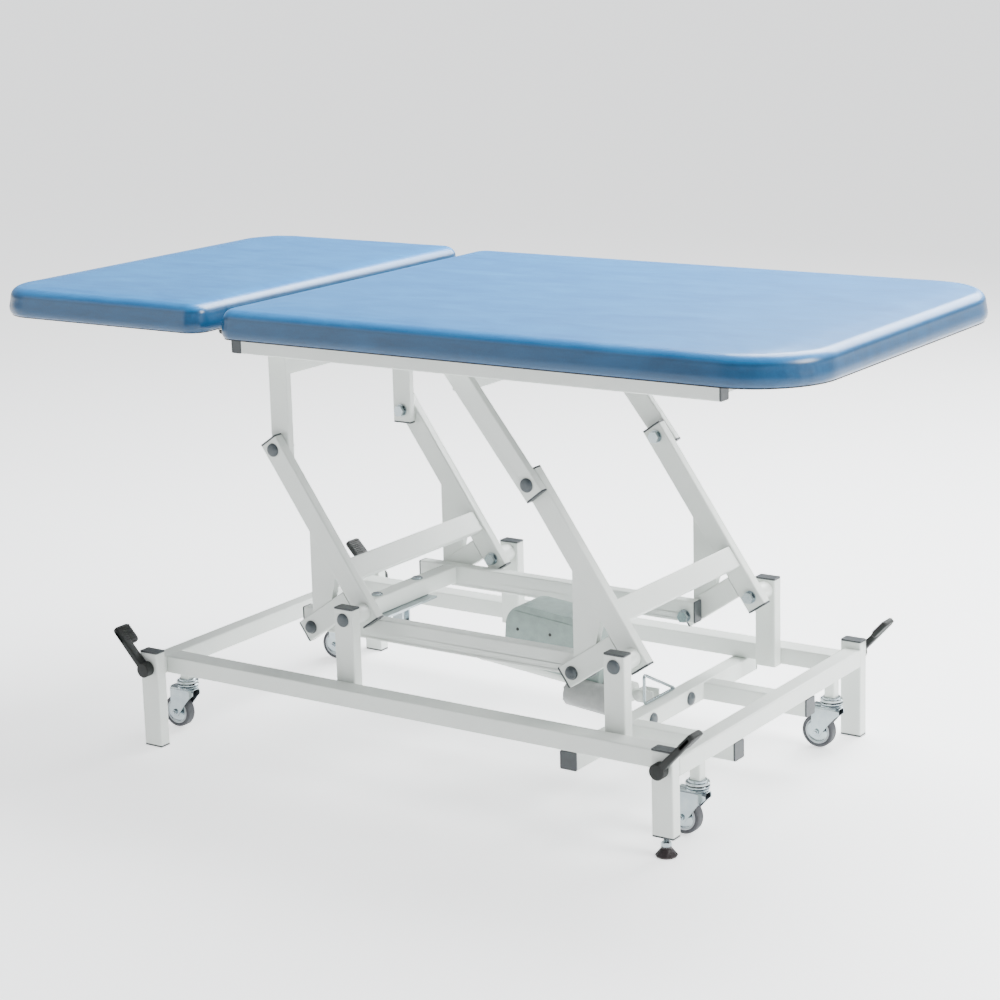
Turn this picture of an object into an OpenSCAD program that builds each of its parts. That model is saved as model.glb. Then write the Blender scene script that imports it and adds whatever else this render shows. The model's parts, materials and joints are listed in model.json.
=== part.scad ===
// Bobath table: two-section padded top on a parallelogram lifting base.
// Units are millimetres, Z is up, X runs along the table, the head section is at -X.

/* [Padded top] */
// Length of the whole padded top
table_l = 2040; // [1800:10:2200]
// Width of the padded top
table_w = 1000; // [800:10:1200]
// Thickness of a pad at its edge
pad_t = 63.3; // [50:0.1:80]
// Rise of the crown in the middle of a pad
pad_crown = 3; // [1:1:10]
// Head end of the body pad, measured from the middle of the table
body_pad_x = -358; // [-500:1:-200]
// Gap between the two pads
pad_split = 42; // [20:1:80]
// How much higher the head section lies
head_rise = 5; // [0:1:10]
// Plan radius of the corners at the head end
pad_head_r = 115; // [60:5:240]
// Plan radius of the corners at the foot end
pad_foot_r = 170; // [60:5:240]
// Plan radius of the corners beside the gap
pad_inner_r = 45; // [40:1:100]
// Thickness of the boards
board_t = 12; // [8:1:20]
// How far a board stays inside its pad
board_inset = 20; // [5:1:40]
// Clearance between a pad and the top of its board
pad_gap = 0.3; // [0.1:0.1:1]
// Clearance between a pad and the edge of its board
pad_fit = 1.5; // [1.2:0.1:3]
// Lower edge of a pad above the underside of its board
pad_lap = 1; // [0.5:0.1:4]
// How far the lower edge of a pad is drawn in
pad_foot = 8; // [4:0.5:14]
// Height of the bulge above the lower edge of a pad
pad_low = 20; // [10:1:30]
// Radius of the upper edge of a pad
pad_round = 26; // [10:1:30]
// Lean of a pad's side from the bulge to its upper edge
pad_lean = 3; // [1:0.5:8]

/* [Base] */
// Length of the base over the corner posts
base_l = 1392; // [1200:4:1600]
// Shift of the base towards the foot end
base_off = 14.4; // [0:0.2:40]
// Width of the base over the corner posts
base_w = 868; // [700:2:1000]
// Width of a post along the table
post_w = 50; // [40:1:60]
// Width of a post across the table
post_t = 30; // [20:1:40]
// Height of a corner post with its cap
post_h = 224.7; // [180:0.1:300]
// Underside of the rails above the floor
bar_z = 165; // [120:1:200]
// Side of the square base tubes
bar = 40; // [30:1:50]
// Width of a side rail across the table
rail_w = 50; // [40:1:60]
// Step from the posts in to the side rails
rail_inset = 15; // [5:1:40]
// Wall of all the tubes
wall = 2; // [1.5:0.5:4]
// Thickness of the plastic end caps
cap_t = 4; // [3:0.5:8]
// Bottom of the shorter post above the floor
short_post_z = 41; // [30:1:60]
// Radius of the levelling foot pad
foot_r = 23; // [18:1:30]
// Height of the levelling foot pad
foot_h = 15; // [10:1:20]
// Radius of the levelling screw
foot_screw_r = 6; // [4:0.5:8]

/* [Low tubes] */
// Near face of the low cross tube along the table
mid_x = 418; // [350:1:500]
// Middle of each short outrunner tube across the table
outrun_y = 160; // [100:1:220]
// Middle of the two dome caps across the table
mid_dome_y = 81; // [60:1:100]
// Place of the open hole across the table
mid_hole_y = 236; // [200:1:260]
// Radius of the open hole
mid_hole_r = 5; // [3:0.5:8]

/* [Lifting linkage] */
// Height of the lower pivots
pivot_z = 343.8; // [300:0.2:400]
// Lower pivot of the head side crank along the table
pivot_x = -167.5; // [-250:0.5:-100]
// Distance between the two cranks
pivot_span = 688; // [600:1:760]
// Distance between the pivots of a long arm
arm_l = 413.5; // [350:0.5:450]
// Lean of the long arms from level, at rest
arm_deg = 124.6; // [100:0.2:150]
// Width of an arm
arm_w = 50; // [40:1:60]
// Thickness of an arm across the table
arm_t = 25; // [20:1:30]
// Tail of a long arm past its lower pivot
arm_tail = 27; // [20:1:40]
// Head of a long arm past its upper pivot
arm_head = 22; // [20:1:40]
// Foot of the short arm along the long arm
short_x = 38; // [30:1:80]
// Reach of the short arm bolt from the long arm's middle line
short_z = 154; // [120:1:200]
// End of the short arm past its bolt
short_end = 22; // [20:1:40]
// Start of the gusset along the long arm
gus_x0 = 99; // [80:1:120]
// End of the gusset along the long arm
gus_x1 = 217; // [180:1:260]
// Start of the gusset along the short arm
gus_z0 = 65; // [50:1:80]
// End of the gusset along the short arm
gus_z1 = 132; // [100:1:150]
// Thickness of a gusset
gus_t = 19; // [10:1:24]
// Middle of the crank tie along the long arm
tie_x = 95; // [80:1:140]
// Offset of the crank tie from the arm's middle line
tie_z = 5; // [0:1:12]
// Thickness of the crank tie
tie_t = 30; // [20:1:40]
// Radius of the pivot bolts
bolt_r = 8; // [6:0.5:10]
// Running fit of the pivots on the radius
run_gap = 0.05; // [0.02:0.01:0.1]
// Flat clearance between moving faces
face_gap = 0.3; // [0.2:0.1:0.6]
// Gap between the arms and what they carry
side_gap = 1; // [0.5:0.1:3]
// Radius of the bearing sleeves and spacer bosses
boss_r = 20; // [14:1:24]
// Length of a spacer boss
boss_l = 43.7; // [30:0.1:60]
// Radius of a sleeve inside an arm
sleeve_r = 12; // [10:0.5:14]
// Radius of a dome cap
dome_r = 15; // [12:0.5:20]
// Height of a dome cap
dome_h = 7; // [5:0.5:12]
// Radius of a washer
washer_r = 15; // [12:0.5:20]
// Thickness of a washer
washer_t = 3; // [2:0.5:4]
// Radius of a hexagon nut over its corners
nut_r = 13.5; // [10:0.5:18]
// Height of a hexagon nut
nut_h = 11; // [8:0.5:16]

/* [Coupler] */
// Height of a coupler tube
coup_h = 50; // [40:1:60]
// Width of a coupler tube
coup_t = 30; // [20:1:40]
// Head end of the coupler past its bolt
coup_x0 = 40; // [30:1:60]
// Foot end of the coupler past its bolt
coup_x1 = 22; // [20:1:60]
// Middle of the coupler tubes above the bolt
coup_dz = 10; // [0:1:20]
// Middle of the coupler cross tube from the head side bolt
ccross_dx = 45; // [40:1:90]
// Middle of the coupler cross tube above the bolt
ccross_dz = 13.5; // [0:0.5:20]
// Length of the clevis plate along the table
clevis_l = 68; // [50:1:90]
// Half width of the clevis plate across the table
clevis_y = 96; // [60:1:120]
// Thickness of the clevis plate and lugs
clevis_t = 5; // [3:0.5:8]
// Place of the two plate screws across the table
screw_y = 78; // [50:1:90]

/* [Upper frame] */
// Height of an upper rail
urail_h = 35; // [30:1:40]
// Width of an upper rail
urail_t = 32; // [25:1:40]
// Outer face of the upper rails from the middle
urail_y = 320; // [280:1:360]
// Foot end of the upper rails
urail_x1 = 762.5; // [700:0.5:800]
// Head end of the upper rails past the head side upper pivots
urail_over = 30.7; // [26:0.1:50]
// Width of the head end cross tube along the table
uend_w = 27.6; // [20:0.1:40]
// Top face of the upper rails above the upper pivots
urail_dz = 258.9; // [220:0.1:300]
// Thickness of a hanger
hang_t = 20; // [15:1:25]
// End of a hanger below the upper pivot
hang_tail = 27; // [24:1:40]
// Step of the slanted hangers back towards the head
hang_dx = 176; // [100:1:200]
// Width of the cross tubes between the hangers
ucross_w = 35; // [25:1:45]
// Height of the cross tube between the upright hangers
ucross_h0 = 60; // [30:1:70]
// Height of the cross tube between the slanted hangers
ucross_h1 = 46; // [30:1:60]
// Place of the hidden end cross tube
ucross_x = 715; // [680:1:740]
// Width of the tubes under the boards
btube = 25; // [20:1:30]
// Height of the tubes under the boards
bframe_h = 33; // [25:0.5:40]
// Reach of the body frame across the table
bframe_y = 318; // [310:1:340]
// Foot end of the body frame
bframe_x1 = 758; // [700:1:800]
// Middle of the board frame's middle tube
bframe_xm = 320; // [200:1:400]

/* [Head section] */
// Hinge line past the head end of the upper rails
hinge_back = 5; // [3:1:8]
// Hinge line above the top of the upper rails
hinge_dz = 24; // [20:1:26]
// Radius of the hinge pins
hinge_r = 5; // [4:0.5:6]
// Radius of the hinge eyes
hinge_eye_r = 11; // [9:0.5:13]
// Thickness of the hinge plates
hinge_t = 6; // [4:0.5:8]
// Inner face of the fixed hinge plates
hinge_y = 240; // [200:1:260]
// Hinge end of the head frame from the hinge line
hframe_gap = 14; // [12:1:30]
// Head end of the head frame
hframe_x0 = -985; // [-990:1:-900]
// Gas springs from the middle of the table
gas_y = 120; // [80:1:140]
// Lower eye of a gas spring from the hinge line along the table
gas_near = 52; // [46:1:70]
// Lower eye of a gas spring below the top of the upper rails
gas_low = 53; // [40:1:60]
// Upper eye of a gas spring from the hinge line along the table
gas_far = 322; // [280:1:360]
// Upper eye of a gas spring below the head frame
gas_up = 18; // [12:1:24]
// Radius of a gas spring cylinder
gas_r = 11; // [9:0.5:14]
// Radius of a gas spring rod
gas_rod_r = 4; // [3:0.5:6]
// Length of a gas spring cylinder
gas_l = 150; // [120:1:160]
// Radius of a gas spring eye
gas_eye_r = 8; // [6:0.5:9]
// Width of a gas spring eye
gas_eye_w = 10; // [8:0.5:14]
// Radius of the pins of the gas springs
gas_pin_r = 4; // [3:0.5:5]

/* [Actuator] */
// Rear pin of the actuator along the table
act_x = 382; // [360:1:395]
// Rear pin of the actuator above the floor
act_z = 167; // [150:1:180]
// Rod eye of the actuator along the table
eye_x = -262; // [-280:1:-240]
// Rod eye of the actuator above the floor
eye_z = 225; // [210:1:235]
// Radius of the outer tube
act_r = 22; // [18:0.5:26]
// End of the outer tube from the rear pin
act_l = 418; // [380:1:430]
// Radius of the rod
rod_r = 10; // [8:0.5:12]
// Inner end of the rod from the rear pin
rod_in = 232; // [225:1:260]
// Radius of the eyes
eye_r = 14; // [12:0.5:16]
// Width of the eyes
eye_w = 20; // [16:0.5:24]
// Radius of the pins of the actuator
eye_pin_r = 6; // [4:0.5:8]
// Rear end of the housing from the rear pin
hous_x0 = 84; // [70:1:100]
// Front end of the housing from the rear pin
hous_x1 = 332; // [300:1:360]
// Top of the housing above the actuator line
hous_h = 148; // [120:1:160]
// Half width of the housing
hous_y = 45; // [35:1:50]
// Radius of the housing's upper front corner
hous_r = 52; // [20:1:60]
// Height of the housing's lid
lid_h = 16; // [10:1:24]
// Groove between the housing and its lid
lid_gap = 1.2; // [0.8:0.1:2]
// Radius of the motor
motor_r = 32; // [26:0.5:34]
// Rear end of the motor from the rear pin
motor_x0 = 24; // [20:1:40]
// Front end of the motor from the rear pin
motor_x1 = 148; // [120:1:170]
// Offset of the motor across the table
motor_y = 53; // [53:0.5:60]
// Drop of the motor below the actuator line
motor_dz = 14; // [0:1:20]
// Radius of the gear collar
gear_r = 29; // [26:0.5:32]
// Length of the gear collar
gear_l = 40; // [30:1:50]

/* [Pedals and castors] */
// Pedal shafts from the outer faces of the posts
shaft_dx = 25; // [23:0.5:27]
// Pedal shafts above the underside of the rails
shaft_dz = 21; // [20:0.5:22]
// Radius of a pedal shaft
shaft_r = 6; // [5:0.5:7]
// Offset of the cam from the shaft
cam_e = 12; // [10:0.5:12]
// Radius of the cam's lobe
cam_r = 6; // [5:0.5:6]
// Length of the cam along the shaft
cam_l = 14; // [10:1:20]
// Half of the pedal's travel in degrees
cam_deg = 20; // [15:1:20]
// Length of a pedal lever
pedal_l = 112; // [90:1:130]
// Rise of a pedal lever from level in degrees
pedal_deg = 47; // [42:1:55]
// Radius of a pedal hub
pedal_hub_r = 17; // [14:0.5:20]
// Width of a pedal hub across the table
pedal_hub_w = 22; // [16:1:30]
// Thickness of a pedal lever
lever_t = 13; // [8:0.5:16]
// Width of a pedal tread
tread_w = 46; // [36:1:60]
// Length of a pedal tread
tread_l = 42; // [30:1:60]
// Height of the ribs on a tread
rib_h = 2; // [1:0.5:3]
// Castors inside the outer faces of the posts
castor_in = 134; // [124:1:160]
// Side of a castor stem
stem_w = 25; // [20:1:28]
// Lower end of a castor stem above the floor
stem_z = 120; // [112:1:130]
// Top of a castor stem inside the crossbar
stem_in = 12; // [4:0.5:12]
// Radius of the follower on a castor stem
peg_r = 3.5; // [3:0.1:4]
// Castor wheel radius
wheel_r = 37.5; // [30:0.5:40]
// Castor wheel width
wheel_w = 24; // [18:1:30]
// Castor wheel clear of the floor at rest
wheel_lift = 4; // [2:0.5:8]
// Trail of a castor
trail = 30; // [20:1:36]
// Radius of a castor's swivel head
race_r = 27; // [22:0.5:32]
// Height of a castor's swivel head
race_h = 14; // [10:0.5:18]
// Thickness of a castor fork plate
fork_t = 2.5; // [2:0.1:4]
// Radius of a castor axle
axle_r = 4; // [3:0.5:5]
// Radius of a castor's swivel pin
kingpin_r = 6; // [5:0.5:8]
// Length of a castor's swivel pin inside the stem
kingpin_l = 26; // [20:1:32]
// Radius of a castor's hub
hub_r = 9; // [7:0.5:12]
// Radius of the hub disc inside the tyre
disc_r = 26; // [20:1:30]
// Radius of a fork plate round the axle
fork_end_r = 12; // [9:0.5:15]

/* [Wire stirrup] */
// Radius of the bent wire
wire_r = 3.5; // [2:0.5:5]
// Wire stirrup behind the near face of the low cross tube
wire_dx = 8; // [4:0.5:20]
// High corner of the stirrup across the table
wire_y0 = -62; // [-80:1:-40]
// Low corner of the stirrup across the table
wire_y1 = 66; // [50:1:90]
// Height of the stirrup
wire_h = 66; // [40:1:90]

/* [Hidden] */
// How far a cut runs past what it cuts
over = 1;
// Edge radius of the tubes
tube_r = 3;
// Smoothness of round things
smooth = 48;
// Corners of a hexagon
hex_n = 6;

// Places worked out from the sizes
xl = base_off - base_l / 2;
xr = base_off + base_l / 2;
post_y = base_w / 2 - post_t / 2;
bar_len = base_w - 2 * post_t;
rail_y = base_w / 2 - post_t - rail_inset - rail_w / 2;
ppost_y = rail_y - rail_w / 2 - post_t / 2;
mid_half = rail_y + rail_w / 2 - cap_t;
ppost_top = pivot_z + arm_tail - cap_t;
arm_out = ppost_y - post_t / 2 - boss_l - face_gap;
arm_y = arm_out - arm_t / 2;
arm_in = arm_out - arm_t;
pivots = [pivot_x, pivot_x + pivot_span];
castor_y = base_w / 2 - castor_in;

// Point of a crank's own frame, along the arm and across it, in the table's frame
function crank_pt(u, w) = [u * cos(arm_deg) - w * sin(arm_deg), u * sin(arm_deg) + w * cos(arm_deg)];
arm_top = crank_pt(arm_l, 0);
short_bolt = crank_pt(short_x, short_z);

// Coupler
coup_y = arm_in - side_gap - coup_t / 2;
coup_in = coup_y - coup_t / 2;
cb_x = pivot_x + short_bolt[0];
cb_z = pivot_z + short_bolt[1];
ccross_z = cb_z + ccross_dz;
ccross_x = cb_x + ccross_dx;
plate_z = ccross_z - bar / 2 - clevis_t;

// Upper frame
up_z = pivot_z + arm_top[1];
urail_top = up_z + urail_dz;
urail_bot = urail_top - urail_h;
hx0 = pivot_x + arm_top[0];
hx1 = hx0 + pivot_span;
urail_x0 = hx0 - urail_over;
hang_y0 = arm_in - side_gap - hang_t / 2;
hang_y1 = arm_out + side_gap + hang_t / 2;
hang_deg = atan2(urail_bot - up_z, -hang_dx);
hang_len = norm([hang_dx, urail_bot - up_z]);

// Boards and pads
board_z = urail_top + bframe_h;
pad_z = board_z + pad_lap;
head_x1 = body_pad_x - pad_split;
hinge_x = urail_x0 - hinge_back;
hinge_z = urail_top + hinge_dz;

// Head section
hf_bot = urail_top + head_rise;
hf_y = hinge_y + 2 * hinge_t + face_gap;
hframe_x1 = hinge_x - hframe_gap;
gas_a = [hinge_x - gas_near, urail_top - gas_low];
gas_b = [hinge_x - gas_far, hf_bot - gas_up];
gas_d = gas_b - gas_a;
gas_deg = atan2(gas_d[1], gas_d[0]);
gas_len = norm(gas_d);

// Actuator
act_dx = eye_x - act_x;
act_dz = eye_z - act_z;
act_deg = atan2(act_dz, act_dx);
act_len = norm([act_dx, act_dz]);

// Pedals and castors
shaft_z = bar_z + shaft_dz;
axle_z = wheel_r + wheel_lift;
peg_top = shaft_z + cam_e * sin(cam_deg) - cam_r - face_gap;
race_z = stem_z - race_h;

// Colours for the preview
c_frame = [0.86, 0.85, 0.8];
c_cap = [0.42, 0.44, 0.44];
c_dark = [0.16, 0.16, 0.17];
c_zinc = [0.75, 0.76, 0.78];
c_blue = [0.25, 0.5, 0.72];

// Section with eased corners, a wide and b high
function ring(a, b, r) = [for (q = [0:3]) for (s = [0:2])
    let (sx = (q == 0 || q == 3) ? 1 : -1, sy = q < 2 ? 1 : -1, t = 90 * q + 45 * s)
    [sx * (a / 2 - r) + r * cos(t), sy * (b / 2 - r) + r * sin(t)]];

module to_x() rotate([90, 0, 90]) children();
module to_y() rotate([90, 0, 0]) children();

// Hollow tube and solid bar along Z
module tube(l, a, b) {
    linear_extrude(l, center = true) difference() {
        polygon(ring(a, b, tube_r));
        square([a - 2 * wall, b - 2 * wall], center = true);
    }
}
module block(l, a, b) {
    linear_extrude(l, center = true) polygon(ring(a, b, tube_r));
}
// Plastic cap on a tube end, its plug points to -Z
module cap(a, b) {
    linear_extrude(cap_t) polygon(ring(a, b, tube_r));
    plug = wall + face_gap;
    translate([0, 0, -2 * cap_t]) linear_extrude(2 * cap_t)
        difference() {
            square([a - 2 * plug, b - 2 * plug], center = true);
            square([a - 2 * plug - 2 * wall, b - 2 * plug - 2 * wall], center = true);
        }
}
module rod_z(l, r) cylinder(h = l, r = r, center = true, $fn = smooth);
module rod_y(l, r) to_y() rod_z(l, r);

// Both sides of the table, -Y first
module sides() for (s = [-1, 1]) scale_y(s) children();
module scale_y(s) {
    if (s > 0) children();
    else mirror([0, 1, 0]) children();
}
// All four corners as ends along X and sides across Y
module corner(x, s) translate([x, 0, 0]) scale_y(s) children();

// Dome cap standing on +Y, as shares of its radius and height
dome_shares = [[0, 0], [1, 0], [1, 0.3], [0.82, 0.72], [0.45, 1], [0, 1]];
module dome(r, h) rotate([-90, 0, 0]) rotate_extrude($fn = smooth)
    polygon([for (q = dome_shares) [q[0] * r, q[1] * h]]);

// Base tubes
module side_rails() color(c_frame)
    sides() translate([base_off, rail_y, bar_z + bar / 2])
        to_x() tube(base_l - 2 * bar, rail_w, bar);

module end_crossbars() color(c_frame)
    for (x = [xl + bar / 2, xr - bar / 2])
        translate([x, 0, bar_z + bar / 2]) difference() {
            to_y() tube(bar_len, bar, bar);
            for (s = [-1, 1]) translate([0, s * castor_y, -bar / 2])
                cube([stem_w + 2 * face_gap, stem_w + 2 * face_gap, 2 * stem_in], center = true);
        }

module corner_posts() color(c_frame)
    for (e = [-1, 1], s = [-1, 1]) {
        low = (e > 0 && s < 0) ? short_post_z : 0;
        x = base_off + e * (base_l / 2 - post_w / 2);
        px = e < 0 ? xl + shaft_dx : xr - shaft_dx;
        difference() {
            translate([x, s * post_y, (post_h + low) / 2]) tube(post_h - low - 2 * cap_t, post_w, post_t);
            translate([px, s * post_y, shaft_z]) rod_y(post_t + 2 * over, shaft_r + run_gap);
        }
    }

module base_caps() color(c_cap) {
    for (e = [-1, 1], s = [-1, 1]) {
        low = (e > 0 && s < 0) ? short_post_z : 0;
        x = base_off + e * (base_l / 2 - post_w / 2);
        translate([x, s * post_y, post_h - cap_t]) cap(post_w, post_t);
        difference() {
            translate([x, s * post_y, low + cap_t]) mirror([0, 0, 1]) cap(post_w, post_t);
            if (low > 0) translate([x, s * post_y, low])
                rod_z(4 * cap_t, foot_screw_r + run_gap);
        }
    }
    for (p = pivots) sides() translate([p, ppost_y, ppost_top]) cap(post_w, post_t);
    sides() translate([mid_x + bar / 2, mid_half, bar_z - bar / 2])
        rotate([-90, 0, 0]) cap(bar, bar);
    sides() translate([xr - cap_t, outrun_y, bar_z - bar / 2]) to_x() cap(bar, bar);
}

module pivot_posts() color(c_frame)
    for (p = pivots) sides() difference() {
        translate([p, ppost_y, (bar_z + ppost_top) / 2]) tube(ppost_top - bar_z, post_w, post_t);
        translate([p, ppost_y, pivot_z]) rod_y(post_t + 2 * over, bolt_r + run_gap);
    }

module pivot_bosses() color(c_frame)
    for (p = pivots) sides() translate([p, ppost_y - post_t / 2 - boss_l / 2, pivot_z]) difference() {
        rod_y(boss_l, boss_r);
        rod_y(boss_l + 2 * over, bolt_r + run_gap);
    }

// Bolt from y1 in to y0 with washer and nut inside
module bolt(y0, y1) {
    translate([0, (y0 + y1) / 2, 0]) rod_y(y1 - y0, bolt_r);
    translate([0, y0 - face_gap - washer_t / 2, 0]) rod_y(washer_t, washer_r);
    translate([0, y0 - face_gap - washer_t - nut_h / 2, 0])
        to_y() cylinder(h = nut_h, r = nut_r, center = true, $fn = hex_n);
    translate([0, y0 - (face_gap + washer_t + nut_h) / 2, 0])
        rod_y(face_gap + washer_t + nut_h, bolt_r);
}
module dome_at(y) translate([0, y, 0]) dome(dome_r, dome_h);

module pivot_bolts() color(c_zinc)
    for (p = pivots) sides() translate([p, 0, pivot_z]) bolt(arm_in, ppost_y + post_t / 2);

module base_domes() color(c_cap) {
    for (p = pivots) sides() translate([p, 0, pivot_z]) dome_at(ppost_y + post_t / 2);
    sides() translate([mid_x + bar, mid_dome_y, bar_z - bar / 2])
        rotate([0, 0, -90]) dome(dome_r, dome_h);
}

module low_tubes() color(c_frame) {
    difference() {
        translate([mid_x + bar / 2, 0, bar_z - bar / 2])
            to_y() tube(2 * mid_half, bar, bar);
        translate([mid_x + bar, -mid_hole_y, bar_z - bar / 2])
            rotate([0, 90, 0]) rod_z(bar, mid_hole_r);
    }
    sides() translate([(mid_x + bar + xr - cap_t) / 2, outrun_y, bar_z - bar / 2])
        to_x() tube(xr - cap_t - mid_x - bar, bar, bar);
}

// Rear bracket with its pin, on the low cross tube
module actuator_mount() color(c_frame) {
    lug_y = eye_w / 2 + face_gap;
    reach = mid_x - act_x;
    sides() difference() {
        union() {
            translate([act_x, lug_y, act_z - eye_r]) cube([reach, clevis_t, 2 * eye_r]);
            translate([act_x, lug_y + clevis_t / 2, act_z]) rod_y(clevis_t, eye_r);
        }
        translate([act_x, lug_y, act_z]) rod_y(4 * clevis_t, eye_pin_r + run_gap);
        translate([mid_x, 0, bar_z - bar]) cube([bar, 2 * eye_w, bar]);
    }
    translate([act_x, 0, act_z]) rod_y(2 * (lug_y + 2 * clevis_t), eye_pin_r);
    sides() translate([act_x, lug_y + clevis_t, act_z]) dome(eye_pin_r + clevis_t, clevis_t);
}

module wire_leg(a, b) {
    d = b - a;
    translate([mid_x + wire_dx, a[0], a[1]]) rotate([atan2(d[1], d[0]), 0, 0])
        rotate([-90, 0, 0]) cylinder(h = norm(d), r = wire_r, $fn = smooth);
}
module wire_stirrup() color(c_zinc) {
    z0 = bar_z + wire_r;
    pts = [[wire_y0, z0], [wire_y0, z0 + wire_h], [wire_y1, z0]];
    for (i = [0:2]) {
        wire_leg(pts[i], pts[(i + 1) % 3]);
        translate([mid_x + wire_dx, pts[i][0], pts[i][1]]) sphere(r = wire_r, $fn = smooth);
    }
}

module levelling_foot() color(c_dark)
    translate([xr - post_w / 2, -post_y, 0]) {
        cylinder(h = foot_h / 2, r = foot_r, $fn = smooth);
        translate([0, 0, foot_h / 2])
            cylinder(h = foot_h / 2, r1 = foot_r, r2 = 2 * foot_screw_r, $fn = smooth);
        translate([0, 0, foot_h]) cylinder(h = 2 * short_post_z - foot_h, r = foot_screw_r, $fn = smooth);
        translate([0, 0, foot_h]) cylinder(h = foot_h / 2, r = 2 * foot_screw_r, $fn = hex_n);
    }

// Frame of one crank: X along the long arm, Z towards the short arm
module crank(p) translate([p, 0, pivot_z]) rotate([0, -arm_deg, 0]) children();

module arms(p) color(c_frame) crank(p) sides() difference() {
    union() {
        translate([(arm_l + arm_head - arm_tail) / 2, arm_y, 0])
            to_x() tube(arm_l + arm_head + arm_tail, arm_t, arm_w);
        for (u = [0, arm_l]) translate([u, arm_y, 0]) rod_y(arm_t - wall, sleeve_r);
    }
    for (u = [0, arm_l]) translate([u, arm_y, 0]) rod_y(arm_t + 2 * over, bolt_r + run_gap);
}
module short_arms(p) color(c_frame) crank(p) sides() {
    top = short_z + short_end;
    foot = arm_w / 2;
    difference() {
        union() {
            translate([short_x, arm_y, (foot + top) / 2]) tube(top - foot, arm_w, arm_t);
            translate([short_x, arm_y, short_z]) rod_y(arm_t - wall, sleeve_r);
        }
        translate([short_x, arm_y, short_z]) rod_y(arm_t + 2 * over, bolt_r + run_gap);
    }
    edge = short_x + arm_w / 2;
    translate([0, arm_y, 0]) to_y() linear_extrude(gus_t, center = true)
        polygon([[edge, gus_z1], [edge, gus_z0], [gus_x0, foot], [gus_x1, foot]]);
}
module crank_tie(p) color(c_frame) crank(p) translate([tie_x, 0, -tie_z])
    to_y() tube(2 * arm_in, arm_w, tie_t);

module left_arms() arms(pivots[0]);
module right_arms() arms(pivots[1]);
module left_short_arms() short_arms(pivots[0]);
module right_short_arms() short_arms(pivots[1]);
module left_tie() crank_tie(pivots[0]);
module right_tie() crank_tie(pivots[1]);

module left_bolts() color(c_zinc) crank(pivots[0]) sides() {
    translate([arm_l, 0, 0]) bolt(hang_y0 - hang_t / 2, arm_out);
    translate([short_x, 0, short_z]) bolt(coup_in, arm_out);
}
module right_bolts() color(c_zinc) crank(pivots[1]) sides() {
    translate([arm_l, 0, 0]) bolt(arm_in, hang_y1 + hang_t / 2 + face_gap);
    translate([short_x, 0, short_z]) bolt(coup_in, arm_out);
}
module arm_caps(p) crank(p) sides() {
    translate([arm_l + arm_head, arm_y, 0]) to_x() cap(arm_t, arm_w);
    translate([-arm_tail, arm_y, 0]) mirror([1, 0, 0]) to_x() cap(arm_t, arm_w);
    translate([short_x, arm_y, short_z + short_end]) cap(arm_w, arm_t);
    translate([short_x, 0, short_z]) dome_at(arm_out);
}
module left_plastics() color(c_cap) {
    arm_caps(pivots[0]);
    crank(pivots[0]) sides() translate([arm_l, 0, 0]) dome_at(arm_out);
}
module right_plastics() color(c_cap) {
    arm_caps(pivots[1]);
    crank(pivots[1]) sides() translate([arm_l, 0, 0]) dome_at(hang_y1 + hang_t / 2 + face_gap);
}

// Coupler between the short arms
module coupler_tubes() color(c_frame) sides() {
    x0 = cb_x - coup_x0;
    x1 = cb_x + pivot_span + coup_x1;
    difference() {
        union() {
            translate([(x0 + x1) / 2, coup_y, cb_z + coup_dz]) to_x() tube(x1 - x0, coup_t, coup_h);
            for (d = [0, pivot_span]) translate([cb_x + d, coup_y, cb_z])
                rod_y(coup_t - wall, sleeve_r);
        }
        for (d = [0, pivot_span]) translate([cb_x + d, coup_y, cb_z])
            rod_y(coup_t + 2 * over, bolt_r + run_gap);
    }
}
module coupler_cross() color(c_frame)
    translate([ccross_x, 0, ccross_z]) to_y() tube(2 * coup_in, bar, bar);
module coupler_caps() color(c_cap) sides() {
    translate([cb_x + pivot_span + coup_x1, coup_y, cb_z + coup_dz]) to_x() cap(coup_t, coup_h);
    translate([cb_x - coup_x0, coup_y, cb_z + coup_dz]) mirror([1, 0, 0]) to_x() cap(coup_t, coup_h);
}
module coupler_clevis() color(c_zinc) {
    lug_y = eye_w / 2 + face_gap;
    translate([eye_x - clevis_l / 2, -clevis_y, plate_z]) cube([clevis_l, 2 * clevis_y, clevis_t]);
    sides() {
        translate([eye_x - eye_r, lug_y, eye_z]) cube([2 * eye_r, clevis_t, plate_z - eye_z]);
        translate([eye_x, lug_y + clevis_t / 2, eye_z]) rod_y(clevis_t, eye_r);
        translate([eye_x, lug_y + clevis_t, eye_z]) dome(eye_pin_r + clevis_t, clevis_t);
        translate([ccross_x, screw_y, ccross_z + bar / 2]) {
            cylinder(h = clevis_t, r = nut_r - clevis_t / 2, $fn = hex_n);
            cylinder(h = clevis_t / 2, r = nut_r, $fn = smooth);
        }
        translate([ccross_x, screw_y, plate_z - clevis_t])
            cylinder(h = clevis_t, r = nut_r - clevis_t / 2, $fn = hex_n);
    }
}

// Upper frame
module upper_rails() color(c_frame) sides()
    translate([(urail_x0 + urail_x1 - cap_t) / 2, urail_y - urail_t / 2, urail_top - urail_h / 2])
        to_x() tube(urail_x1 - cap_t - urail_x0, urail_t, urail_h);

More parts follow.
